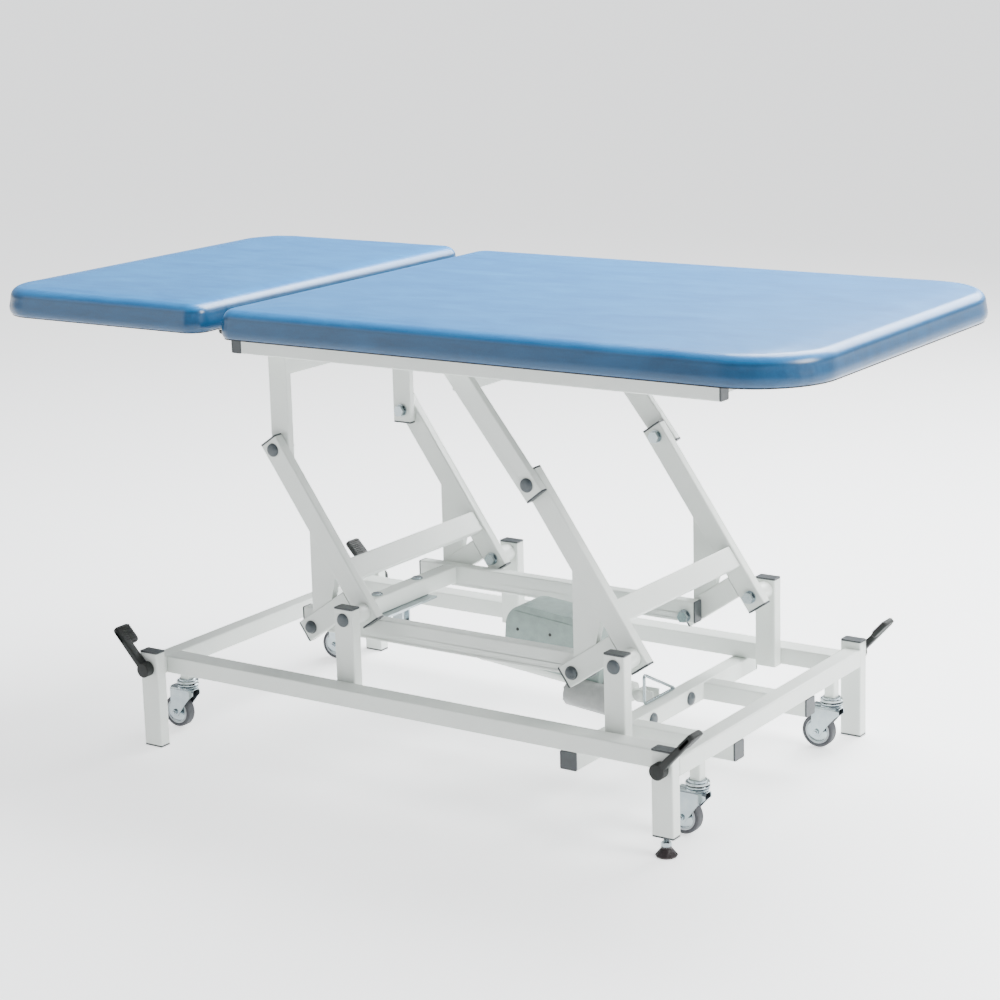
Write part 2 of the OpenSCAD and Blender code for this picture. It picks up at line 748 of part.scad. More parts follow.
module upper_cross_tubes() color(c_frame) {
    translate([urail_x0 - uend_w / 2, 0, urail_top - urail_h / 2])
        to_y() tube(2 * (urail_y - cap_t), uend_w, urail_h);
    for (x = [hx0, hx1 - hang_dx]) translate([x, 0, urail_top - urail_h / 2])
        to_y() tube(2 * (urail_y - urail_t), arm_w, urail_h);
    translate([hx0, 0, urail_bot - ucross_h0 / 2])
        to_y() tube(2 * hang_y0 - hang_t, ucross_w, ucross_h0);
    translate([hx1 - hang_dx, 0, urail_bot - ucross_h1 / 2])
        to_y() tube(2 * hang_y1 - hang_t, ucross_w, ucross_h1);
    translate([ucross_x, 0, urail_top - urail_h / 2])
        to_y() tube(2 * (urail_y - urail_t), urail_h, urail_h);
}
module hangers() color(c_frame) sides() {
    difference() {
        union() {
            translate([hx0, hang_y0, (urail_bot + up_z - hang_tail) / 2])
                tube(urail_bot - up_z + hang_tail, arm_w, hang_t);
            translate([hx0, hang_y0, up_z]) rod_y(hang_t - wall, sleeve_r);
        }
        translate([hx0, hang_y0, up_z]) rod_y(hang_t + 2 * over, bolt_r + run_gap);
    }
    difference() {
        union() {
            translate([hx1, hang_y1, up_z]) rotate([0, -hang_deg, 0])
                translate([(hang_len + arm_w - hang_tail) / 2, 0, 0])
                    to_x() tube(hang_len + arm_w + hang_tail, hang_t, arm_w);
            translate([hx1, hang_y1, up_z]) rod_y(hang_t - wall, sleeve_r);
        }
        translate([hx1, hang_y1, up_z]) rod_y(hang_t + 2 * over, bolt_r + run_gap);
        translate([hx1 - 2 * hang_dx, 0, urail_bot]) cube([2 * hang_dx, urail_y, hang_dx]);
    }
}
module upper_caps() color(c_cap) sides() {
    translate([urail_x1 - cap_t, urail_y - urail_t / 2, urail_top - urail_h / 2])
        to_x() cap(urail_t, urail_h);
    translate([urail_x0 - uend_w / 2, urail_y - cap_t, urail_top - urail_h / 2])
        rotate([-90, 0, 0]) cap(uend_w, urail_h);
    translate([hx0, hang_y0, up_z - hang_tail]) mirror([0, 0, 1]) cap(arm_w, hang_t);
    translate([hx1, hang_y1, up_z]) rotate([0, -hang_deg, 0]) translate([-hang_tail, 0, 0])
        mirror([1, 0, 0]) to_x() cap(hang_t, arm_w);
}
module board_frame() color(c_frame) {
    z = urail_top + bframe_h / 2;
    x0 = body_pad_x + board_inset;
    for (x = [x0, bframe_x1 - btube]) translate([x + btube / 2, 0, z])
        to_y() tube(2 * bframe_y, btube, bframe_h);
    sides() translate([(x0 + bframe_x1) / 2, urail_y - urail_t / 2, z])
        to_x() tube(bframe_x1 - x0 - 2 * btube, btube, bframe_h);
    translate([bframe_xm, 0, z]) to_y() tube(2 * urail_y - urail_t - btube, btube, bframe_h);
}

// Plan outline between x0 and x1, radius ra at x0 and rb at x1, drawn in by d
function arc_pts(cx, cy, r, t0, n) = [for (i = [0:n]) let (t = t0 + 90 * i / n)
    [cx + r * cos(t), cy + r * sin(t)]];
function plan(x0, x1, ra, rb, d, n) = let (hy = table_w / 2) concat(
    arc_pts(x1 - rb, hy - rb, rb - d, 0, n), arc_pts(x0 + ra, hy - ra, ra - d, 90, n),
    arc_pts(x0 + ra, -hy + ra, ra - d, 180, n), arc_pts(x1 - rb, -hy + rb, rb - d, 270, n));

// Board of one section, its corners are cylinders
module board(x0, x1, ra, rb, z) {
    a = x0 + board_inset;
    b = x1 - board_inset;
    hy = table_w / 2 - board_inset;
    r1 = ra - board_inset;
    r2 = rb - board_inset;
    translate([a + r1, -hy, z]) cube([b - a - r1 - r2, 2 * hy, board_t]);
    translate([a, r1 - hy, z]) cube([r1, 2 * (hy - r1), board_t]);
    translate([b - r2, r2 - hy, z]) cube([r2, 2 * (hy - r2), board_t]);
    for (s = [-1, 1]) {
        translate([a + r1, s * (hy - r1), z]) cylinder(h = board_t, r = r1, $fn = 2 * smooth);
        translate([b - r2, s * (hy - r2), z]) cylinder(h = board_t, r = r2, $fn = 2 * smooth);
    }
}
module body_board() color(c_dark) board(body_pad_x, table_l / 2, pad_inner_r, pad_foot_r, board_z);
module head_board() color(c_dark)
    board(-table_l / 2, head_x1, pad_head_r, pad_inner_r, board_z + head_rise);

// Padded cushion round its board: rows of the plan outline up its edge, closed by a crown.
// A row is an inset and a height: roof and wall of the recess, bulge, upper edge.
crown_shares = [0.8, 0.5];
arc_n = 8;
low_n = 4;
top_n = 5;
recess = [board_inset - pad_fit, board_t + pad_gap - pad_lap];
pad_rows = concat([recess, [recess[0], 0]],
    [for (i = [0:low_n]) let (t = 90 * i / low_n) [pad_foot * (1 - sin(t)), pad_low * (1 - cos(t))]],
    [for (i = [0:top_n]) let (t = 90 * i / top_n)
        [pad_lean + pad_round * (1 - cos(t)), pad_t - pad_round * (1 - sin(t))]]);
module cushion(x0, x1, ra, rb, z) {
    rows = pad_rows;
    outline = [for (w = rows) [for (q = plan(x0, x1, ra, rb, w[0], arc_n)) [q[0], q[1], z + w[1]]]];
    n = len(outline[0]);
    m = len(rows);
    xm = (x0 + x1) / 2;
    inner = [for (k = crown_shares) [for (q = outline[m - 1])
        [xm + k * (q[0] - xm), k * q[1], z + pad_t + pad_crown * (1 - pow(k, 4))]]];
    all_rows = concat(outline, inner);
    mm = len(all_rows);
    pts = concat([for (r = all_rows) for (q = r) q], [[xm, 0, z + pad_t + pad_crown]]);
    top = mm * n;
    faces = concat([[for (i = [0:n - 1]) i]],
        [for (j = [0:mm - 2]) for (i = [0:n - 1]) let (k = (i + 1) % n)
            [j * n + i, (j + 1) * n + i, j * n + k]],
        [for (j = [0:mm - 2]) for (i = [0:n - 1]) let (k = (i + 1) % n)
            [j * n + k, (j + 1) * n + i, (j + 1) * n + k]],
        [for (i = [0:n - 1]) [(mm - 1) * n + i, top, (mm - 1) * n + (i + 1) % n]]);
    polyhedron(points = pts, faces = faces, convexity = 4);
}
module body_cushion() color(c_blue)
    cushion(body_pad_x, table_l / 2, pad_inner_r, pad_foot_r, pad_z);
module head_cushion() color(c_blue)
    cushion(-table_l / 2, head_x1, pad_head_r, pad_inner_r, pad_z + head_rise);

// Fixed side of the head hinge and the lower mounts of the gas springs
module hinge_plates() color(c_zinc) sides() {
    x0 = urail_x0 - uend_w;
    translate([hinge_x, hinge_y + hinge_t / 2, hinge_z]) rod_y(hinge_t, hinge_eye_r);
    translate([x0, hinge_y, urail_top]) cube([hinge_x - x0, hinge_t, hinge_dz]);
    translate([hinge_x, hinge_y + hinge_t, hinge_z])
        rod_y(2 * (hinge_t + face_gap), hinge_r);
    translate([hinge_x, hinge_y - hinge_t / 4, hinge_z]) rod_y(hinge_t / 2, hinge_r + hinge_t / 2);
    y = gas_y + gas_eye_w / 2 + face_gap;
    translate([gas_a[0], y + hinge_t / 2, gas_a[1]]) rod_y(hinge_t, hinge_eye_r);
    translate([gas_a[0], y, gas_a[1] - hinge_eye_r]) cube([x0 - gas_a[0], hinge_t, 2 * hinge_eye_r]);
    translate([x0 - hinge_eye_r, y, gas_a[1]])
        cube([hinge_eye_r, hinge_t, gas_low - hinge_eye_r]);
    translate([gas_a[0], y - gas_eye_w / 2, gas_a[1]]) rod_y(gas_eye_w + 2 * face_gap, gas_pin_r);
}

module head_frame() color(c_frame) {
    z = hf_bot + bframe_h / 2;
    y = hf_y + btube / 2;
    sides() translate([(hframe_x0 + hframe_x1) / 2, y, z])
        to_x() tube(hframe_x1 - hframe_x0, btube, bframe_h);
    for (x = [hframe_x0 + btube / 2, gas_b[0], hinge_x - 2.5 * btube])
        translate([x, 0, z]) to_y() tube(2 * hf_y, btube, bframe_h);
    sides() {
        difference() {
            union() {
                translate([hinge_x, hf_y - hinge_t / 2, hinge_z]) rod_y(hinge_t, hinge_eye_r);
                translate([hinge_x - 2 * btube, hf_y - hinge_t, hinge_z - hinge_eye_r])
                    cube([2 * btube, hinge_t, 2 * hinge_eye_r]);
            }
            translate([hinge_x, hf_y, hinge_z]) rod_y(4 * hinge_t, hinge_r + run_gap);
        }
        yb = gas_y + gas_eye_w / 2 + face_gap;
        translate([gas_b[0], yb + hinge_t / 2, gas_b[1]]) rod_y(hinge_t, gas_eye_r);
        translate([gas_b[0] - gas_eye_r, yb, gas_b[1]])
            cube([2 * gas_eye_r, hinge_t, hf_bot - gas_b[1]]);
    }
}

// Gas springs, X along the spring from its lower eye
module gas(s) translate([gas_a[0], s * gas_y, gas_a[1]]) rotate([0, -gas_deg, 0]) children();
module gas_cylinders() color(c_dark) for (s = [-1, 1]) gas(s) difference() {
    union() {
        rod_y(gas_eye_w, gas_eye_r);
        translate([gas_eye_r / 2, 0, 0]) rotate([0, 90, 0])
            cylinder(h = gas_eye_r + gas_r, r = gas_rod_r, $fn = smooth);
        translate([gas_eye_r + gas_r, 0, 0]) rotate([0, 90, 0])
            cylinder(h = gas_l, r = gas_r, $fn = smooth);
    }
    rod_y(gas_eye_w + 2 * over, gas_pin_r + run_gap);
    translate([gas_eye_r + 2 * gas_r, 0, 0]) rotate([0, 90, 0])
        cylinder(h = gas_l, r = gas_rod_r + run_gap, $fn = smooth);
}
module gas_rods() color(c_zinc) for (s = [-1, 1]) gas(s) {
    translate([gas_len, 0, 0]) rod_y(gas_eye_w, gas_eye_r);
    translate([gas_eye_r + 3 * gas_r, 0, 0]) rotate([0, 90, 0])
        cylinder(h = gas_len - 2 * gas_eye_r - 3 * gas_r, r = gas_rod_r, $fn = smooth);
    translate([gas_len - 3 * gas_eye_r, 0, 0]) rotate([0, 90, 0])
        cylinder(h = 2.5 * gas_eye_r, r = gas_rod_r + wall / 2, $fn = smooth);
}

// Actuator, X along its line from the rear pin to the rod eye
module act() translate([act_x, 0, act_z]) rotate([0, -act_deg, 0]) children();
module along(x, l, r) translate([x, 0, 0]) rotate([0, 90, 0]) cylinder(h = l, r = r, $fn = smooth);

module actuator_tube() color(c_frame) act() {
    difference() {
        union() {
            rod_y(eye_w, eye_r);
            along(0, eye_r + rod_r, rod_r);
            along(eye_r + rod_r / 2, act_l - eye_r - rod_r / 2, act_r);
            along(act_l - act_r / 2, act_r / 2, act_r + wall / 2);
        }
        rod_y(eye_w + 2 * over, eye_pin_r + run_gap);
        along(eye_r + 2 * rod_r, act_l, rod_r + face_gap);
    }
}
module actuator_housing() color(c_cap) act() difference() {
    // Above the actuator line is -Z in this frame
    union() {
        translate([hous_x0, -hous_y, -hous_h]) cube([hous_x1 - hous_r - hous_x0, 2 * hous_y, hous_h]);
        translate([hous_x0, -hous_y, -hous_h + hous_r])
            cube([hous_x1 - hous_x0, 2 * hous_y, hous_h - hous_r]);
        translate([hous_x1 - hous_r, 0, -hous_h + hous_r]) rod_y(2 * hous_y, hous_r);
    }
    along(0, 2 * act_l, act_r + face_gap);
    translate([0, -hous_y - over, -act_r / 2]) cube([act_l, 2 * hous_y + 2 * over, hous_h]);
    for (s = [-1, 1]) translate([0, s * hous_y, -hous_h + lid_h])
        cube([2 * act_l, 2 * lid_gap, lid_gap], center = true);
}
module actuator_motor() color(c_cap) act() {
    difference() {
        union() {
            translate([0, -motor_y, motor_dz]) {
                along(motor_x0, motor_x1 - motor_x0, motor_r);
                along(motor_x1, wall, motor_r - wall);
            }
            along(motor_x0 + gear_l, gear_l, gear_r);
        }
        along(0, act_l, act_r + face_gap / 2);
        translate([hous_x0 - face_gap, -hous_y - over, -hous_h - act_r / 2])
            cube([act_l, 2 * hous_y + 2 * over, hous_h]);
    }
    for (k = [0:5]) translate([motor_x1, -motor_y, motor_dz]) rotate([60 * k, 0, 0])
        translate([0, 0, motor_r - 2 * wall]) along(0, 2 * wall, 1.2 * wall);
}
module actuator_rod() color(c_zinc) act() {
    along(rod_in, act_len - rod_in - eye_r / 2, rod_r);
    translate([act_len, 0, 0]) rod_y(eye_w, eye_r);
}

// Pedal shafts with their cams, e is the end and the pedals point out from it
module shaft(e) {
    x = e < 0 ? xl + shaft_dx : xr - shaft_dx;
    translate([x, 0, shaft_z]) {
        rod_y(base_w + 2 * pedal_hub_w - 2 * wall, shaft_r);
        for (s = [-1, 1]) translate([0, s * castor_y, 0]) rotate([0, e > 0 ? -cam_deg : cam_deg, 0]) {
            translate([e * cam_e, 0, 0]) rod_y(cam_l, cam_r);
            translate([e * cam_e / 2, 0, 0]) cube([cam_e, cam_l, 2 * cam_r - 2 * wall], center = true);
        }
    }
}
module left_shaft() color(c_zinc) shaft(-1);
module right_shaft() color(c_zinc) shaft(1);

module pedal(e) {
    x = e < 0 ? xl + shaft_dx : xr - shaft_dx;
    y0 = base_w / 2 + face_gap;
    ribs = 5;
    translate([x, y0 + pedal_hub_w / 2, shaft_z]) mirror([e < 0 ? 1 : 0, 0, 0]) rotate([0, -pedal_deg, 0])
        difference() {
            union() {
                rod_y(pedal_hub_w, pedal_hub_r);
                translate([0, -pedal_hub_w / 2, -lever_t / 2])
                    cube([pedal_l - tread_l / 2, pedal_hub_w, lever_t]);
                translate([pedal_l - tread_l, pedal_hub_w / 2 - tread_w, -lever_t / 2])
                    cube([tread_l, tread_w, lever_t]);
                translate([pedal_l, pedal_hub_w / 2 - tread_w / 2, 0]) rod_y(tread_w, lever_t / 2);
                for (i = [0:ribs - 1])
                    translate([pedal_l - tread_l + (i + 0.5) * tread_l / ribs,
                        pedal_hub_w / 2 - tread_w, lever_t / 2 - rib_h])
                        cube([tread_l / ribs / 2, tread_w, 2 * rib_h]);
            }
            rod_y(pedal_hub_w + 2 * over, shaft_r + run_gap);
        }
}
module left_pedals() color(c_dark) sides() pedal(-1);
module right_pedals() color(c_dark) sides() pedal(1);

// Castors: e is the end, s the side, the wheel trails towards -X
function castor_x(e) = e < 0 ? xl + bar / 2 : xr - bar / 2;
function cam_x(e) = (e < 0 ? xl + shaft_dx : xr - shaft_dx) + e * cam_e * cos(cam_deg);
module stem(e, s) color(c_frame) {
    top = bar_z + stem_in;
    flange = 2 * wall;
    translate([castor_x(e), s * castor_y, 0]) difference() {
        union() {
            translate([0, 0, (stem_z + top) / 2]) block(top - stem_z, stem_w, stem_w);
            translate([0, 0, stem_z - flange]) cylinder(h = flange, r = race_r - wall, $fn = smooth);
        }
        translate([0, 0, stem_z - flange - over])
            cylinder(h = kingpin_l + flange + 2 * over, r = kingpin_r + run_gap, $fn = smooth);
    }
    translate([cam_x(e), s * castor_y, top])
        cylinder(h = peg_top - top, r = peg_r, $fn = smooth);
}
// The fork trails towards -X
module fork(e, s) color(c_zinc) translate([castor_x(e), s * castor_y, 0]) {
    z1 = stem_z - 2 * wall - face_gap;
    z0 = z1 - race_h;
    in = wheel_w / 2 + wall;
    out = in + fork_t;
    hood = wheel_r + 2 * wall;
    front = race_r - 2 * wall;
    translate([0, 0, z0]) cylinder(h = race_h, r1 = race_r, r2 = race_r - 2 * wall, $fn = smooth);
    translate([0, 0, z0]) cylinder(h = stem_z + kingpin_l - z0, r = kingpin_r, $fn = smooth);
    translate([-trail - fork_end_r, -out, z0 - fork_t])
        cube([trail + fork_end_r + front, 2 * out, fork_t]);
    for (q = [-1, 1]) {
        translate([0, q * (in + fork_t / 2), 0]) to_y() linear_extrude(fork_t, center = true)
            polygon([[front, z0], [-trail - fork_end_r, z0], [-trail - fork_end_r, axle_z],
                [fork_end_r - trail, axle_z]]);
        translate([-trail, q * (in + fork_t / 2), axle_z]) rod_y(fork_t, fork_end_r);
        translate([-trail, q * (out + wall), axle_z])
            to_y() cylinder(h = 2 * wall, r = 2 * axle_r, center = true, $fn = hex_n);
    }
    translate([-trail, 0, axle_z]) rod_y(2 * (out + 3 * wall), axle_r);
    intersection() {
        translate([-trail, 0, axle_z]) difference() {
            rod_y(2 * in + wall, hood);
            rod_y(2 * in + 2 * wall, hood - fork_t);
        }
        translate([-trail - wheel_r, -out, axle_z + fork_end_r]) cube([2 * wheel_r, 2 * out, hood]);
    }
}
module wheel(e, s) color(c_dark) translate([castor_x(e) - trail, s * castor_y, axle_z]) {
    hub = wheel_w / 2 + wall - face_gap;
    disc = wheel_w / 2 - wall;
    half = [[axle_r + run_gap, hub], [hub_r, hub], [hub_r, disc], [disc_r, disc],
        [disc_r, wheel_w / 2], [wheel_r - 2 * wall, wheel_w / 2], [wheel_r, wheel_w / 2 - 2 * wall]];
    n = len(half);
    to_y() rotate_extrude($fn = 2 * smooth)
        polygon(concat(half, [for (i = [n - 1:-1:0]) [half[i][0], -half[i][1]]]));
}

module stem_ln() stem(-1, -1);
module stem_lf() stem(-1, 1);
module stem_rn() stem(1, -1);
module stem_rf() stem(1, 1);
module fork_ln() fork(-1, -1);
module fork_lf() fork(-1, 1);
module fork_rn() fork(1, -1);
module fork_rf() fork(1, 1);
module wheel_ln() wheel(-1, -1);
module wheel_lf() wheel(-1, 1);
module wheel_rn() wheel(1, -1);
module wheel_rf() wheel(1, 1);

side_rails();
end_crossbars();
corner_posts();
base_caps();
pivot_posts();
pivot_bolts();
pivot_bosses();
base_domes();
low_tubes();
actuator_mount();
wire_stirrup();
levelling_foot();
left_arms();
left_short_arms();
left_tie();
left_bolts();
left_plastics();
right_arms();
right_short_arms();
right_tie();
right_bolts();
right_plastics();
coupler_tubes();
coupler_cross();
coupler_caps();
coupler_clevis();
upper_rails();
upper_cross_tubes();
hangers();
upper_caps();
board_frame();
body_board();
body_cushion();
hinge_plates();
head_frame();
head_board();
head_cushion();
gas_cylinders();
gas_rods();
actuator_tube();
actuator_housing();
actuator_motor();
actuator_rod();
left_shaft();
left_pedals();
right_shaft();
right_pedals();
stem_ln();
stem_lf();
stem_rn();
stem_rf();
fork_ln();
fork_lf();
fork_rn();
fork_rf();
wheel_ln();
wheel_lf();
wheel_rn();
wheel_rf();
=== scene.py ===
"""Looks of a two-section treatment table on a lifting base.

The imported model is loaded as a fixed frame. Each operator below makes one piece or a group of
like pieces round it, from surfaces worked out with numpy, and gives the frame's own parts their
finishes. All lengths inside the functions are metres unless a name ends in _mm.
"""

import json
import math

import bmesh
import bpy
import numpy as np
from bpy.props import FloatProperty, FloatVectorProperty, IntProperty, PointerProperty
from mathutils import Matrix, Vector


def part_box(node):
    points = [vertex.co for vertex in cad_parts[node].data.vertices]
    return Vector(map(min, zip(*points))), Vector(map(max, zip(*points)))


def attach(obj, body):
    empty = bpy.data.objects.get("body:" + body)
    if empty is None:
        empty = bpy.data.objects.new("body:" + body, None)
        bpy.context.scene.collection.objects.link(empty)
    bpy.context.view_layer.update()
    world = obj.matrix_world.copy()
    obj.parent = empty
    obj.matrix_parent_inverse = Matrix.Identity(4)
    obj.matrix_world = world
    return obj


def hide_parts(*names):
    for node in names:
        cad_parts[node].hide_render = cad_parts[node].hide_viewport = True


bl_info = {
    "name": "Treatment table looks",
    "version": (1, 0, 0),
    "blender": (4, 5, 0),
    "location": "View3D > Sidebar > Table",
    "description": "Dresses a two-section treatment table: upholstery, castors, pedals, caps, drive and finishes",
    "category": "Object",
}

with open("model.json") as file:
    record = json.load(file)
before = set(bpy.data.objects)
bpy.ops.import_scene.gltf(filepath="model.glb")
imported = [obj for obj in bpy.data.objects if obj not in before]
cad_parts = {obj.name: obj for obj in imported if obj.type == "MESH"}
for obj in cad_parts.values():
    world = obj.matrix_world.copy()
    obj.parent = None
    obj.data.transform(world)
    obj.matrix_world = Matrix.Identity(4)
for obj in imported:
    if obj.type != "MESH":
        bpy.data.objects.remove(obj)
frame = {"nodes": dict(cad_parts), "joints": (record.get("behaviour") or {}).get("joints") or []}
for part in frame["nodes"].values():
    part.data.update()
bpy.context.view_layer.update()


def low(node):
    """Lowest corner of a frame part, as an array in metres."""
    return np.array(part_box(node)[0])


def high(node):
    """Highest corner of a frame part, as an array in metres."""
    return np.array(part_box(node)[1])


def joint_at(name):
    """Place of a joint at rest, as an array in metres."""
    return np.array(next(j["pos_m"] for j in frame["joints"] if j["name"] == name), float)


# Surfaces

class Shell:
    """Grid surfaces gathered into one mesh, each with the number of its material."""

    def __init__(self):
        self.points, self.faces, self.slots, self.count = [], [], [], 0

    def add(self, points, faces, slot=0):
        """Takes an array of points and a list or array of faces that index it."""
        self.points.append(np.asarray(points, float).reshape(-1, 3))
        self.faces += [tuple(int(i) + self.count for i in f) for f in faces]
        self.slots += [slot] * len(faces)
        self.count += len(self.points[-1])
        return self

    def grid(self, p, wrap_u=False, wrap_v=False, ends=(False, False), slot=0):
        """Quads over an array of rows and columns: wrap_u joins the last row to the first,
        wrap_v the last column to the first, and ends close the first and last row with a face."""
        p = np.asarray(p, float)
        nu, nv = p.shape[:2]
        u = np.arange(nu if wrap_u else nu - 1)[:, None]
        v = np.arange(nv if wrap_v else nv - 1)[None, :]
        u1, v1 = (u + 1) % nu, (v + 1) % nv
        quads = np.stack([u * nv + v, u * nv + v1, u1 * nv + v1, u1 * nv + v], -1).reshape(-1, 4)
        faces = quads.tolist()
        if ends[0]:
            faces.append(list(range(nv))[::-1])
        if ends[1]:
            faces.append([(nu - 1) * nv + i for i in range(nv)])
        return self.add(p.reshape(-1, 3), faces, slot)

    def make(self, name, finishes, body, smooth=35.0, merge=1e-5):
        """One object from all surfaces: doubles merged, faces turned outwards, ridden on its body."""
        mesh = bpy.data.meshes.new(name)
        mesh.from_pydata(np.concatenate(self.points).tolist(), [], self.faces)
        mesh.polygons.foreach_set("material_index", np.array(self.slots, np.int32))
        for finish in finishes:
            mesh.materials.append(finish)
        bm = bmesh.new()
        bm.from_mesh(mesh)
        bmesh.ops.remove_doubles(bm, verts=bm.verts, dist=merge)
        bmesh.ops.dissolve_degenerate(bm, edges=bm.edges, dist=merge / 2)
        bmesh.ops.recalc_face_normals(bm, faces=bm.faces)
        bm.to_mesh(mesh)
        bm.free()
        mesh.set_sharp_from_angle(angle=math.radians(smooth))
        mesh.polygons.foreach_set("use_smooth", np.ones(len(mesh.polygons), bool))
        obj = bpy.data.objects.new(name, mesh)
        bpy.context.scene.collection.objects.link(obj)
        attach(obj, body)
        return obj


def place(p, move=(0, 0, 0), x=(1, 0, 0), y=(0, 1, 0), z=(0, 0, 1)):
    """Points of a piece's own frame in the table's frame: move + p.x X + p.y Y + p.z Z."""
    p = np.asarray(p, float)
    return p @ np.array([x, y, z], float) + np.array(move, float)


def turned(deg):
    """Axes X and Z of a frame that is turned by deg in the table's side view, Y kept."""
    a = math.radians(deg)
    return (math.cos(a), 0, math.sin(a)), (-math.sin(a), 0, math.cos(a))


def revolve(profile, sides=48, axis="y"):
    """A profile of (radius, height) pairs turned about an axis: x = r cos t, z = r sin t, y = h."""
    profile = np.asarray(profile, float)
    t = np.linspace(0, 2 * math.pi, sides, endpoint=False)
    r, h = profile[:, 0][:, None], profile[:, 1][:, None]
    ring_a, ring_b, along = r * np.cos(t), r * np.sin(t), h + 0 * t
    order = {"y": (ring_a, along, ring_b), "z": (ring_a, ring_b, along), "x": (along, ring_a, ring_b)}[axis]
    return np.stack(order, -1)


def rounded(a, b, r, steps=5):
    """Outline of an a by b rectangle with corner radius r: four quarter circles, joined."""
    r = min(r, a / 2 - 1e-6, b / 2 - 1e-6)
    t = np.radians(np.linspace(0, 90, steps + 1))
    quarter = np.stack([np.cos(t), np.sin(t)], -1) * r
    out = []
    for k in range(4):
        a0 = math.radians(90 * k)
        rot = np.array([[math.cos(a0), math.sin(a0)], [-math.sin(a0), math.cos(a0)]])
        centre = np.array([(a / 2 - r) * (1 if k in (0, 3) else -1), (b / 2 - r) * (1 if k < 2 else -1)])
        out.append(quarter @ rot + centre)
    return np.concatenate(out)


def eased_block(a, b, c, r=0.002, edge=0.001, steps=3):
    """Rows of an a by b outline from z = 0 to c whose rims are drawn in on a quarter circle."""
    t = np.radians(np.linspace(0, 90, steps + 1))
    start = [(edge * (1 - math.sin(q)), edge * (1 - math.cos(q))) for q in t]
    stop = [(edge * (1 - math.cos(q)), c - edge + edge * math.sin(q)) for q in t]
    rows = []
    for inset, z in start + stop:
        outline = rounded(a - 2 * inset, b - 2 * inset, max(r - inset, 1e-4))
        rows.append(np.concatenate([outline, np.full((len(outline), 1), z)], 1))
    return np.stack(rows)


def sweep(path, radius, sides=12, closed=False):
    """A round section carried along a path: each ring lies across the path's direction."""
    path = np.asarray(path, float)
    if closed:
        ahead = np.roll(path, -1, 0) - np.roll(path, 1, 0)
    else:
        ahead = np.gradient(path, axis=0)
    ahead /= np.linalg.norm(ahead, axis=1, keepdims=True) + 1e-12
    side = np.zeros_like(path)
    last = np.array([0, 0, 1.0]) if abs(ahead[0][2]) < 0.9 else np.array([0, 1.0, 0])
    for i, d in enumerate(ahead):
        last = last - d * (last @ d)
        last = last / (np.linalg.norm(last) + 1e-12)
        side[i] = last
    other = np.cross(ahead, side)
    t = np.linspace(0, 2 * math.pi, sides, endpoint=False)
    radius = np.broadcast_to(np.asarray(radius, float), (len(path),))[:, None, None]
    return path[:, None] + radius * (side[:, None] * np.cos(t)[:, None] + other[:, None] * np.sin(t)[:, None])


# Materials

class Value:
    """A socket of a material; sums, products and powers of it add Math nodes."""

    def __init__(self, tree, socket):
        self.tree, self.socket = tree, socket

    def _math(self, operation, other=None, swap=False, clamp=False):
        node = self.tree.nodes.new("ShaderNodeMath")
        node.operation, node.use_clamp = operation, clamp
        terms = [self] if other is None else ([other, self] if swap else [self, other])
        for i, term in enumerate(terms):
            if isinstance(term, Value):
                self.tree.links.new(term.socket, node.inputs[i])
            else:
                node.inputs[i].default_value = float(term)
        return Value(self.tree, node.outputs[0])

    def __add__(self, o):
        return self._math("ADD", o)

    def __sub__(self, o):
        return self._math("SUBTRACT", o)

    def __rsub__(self, o):
        return self._math("SUBTRACT", o, swap=True)

    def __mul__(self, o):
        return self._math("MULTIPLY", o)

    __radd__, __rmul__ = __add__, __mul__

    def clamp(self):
        """Kept from 0 to 1."""
        return self._math("ADD", 0.0, clamp=True)

    def step(self, start, stop):
        """0 below start, 1 above stop, and a straight ramp between them."""
        return ((self - start) * (1.0 / (stop - start))).clamp()


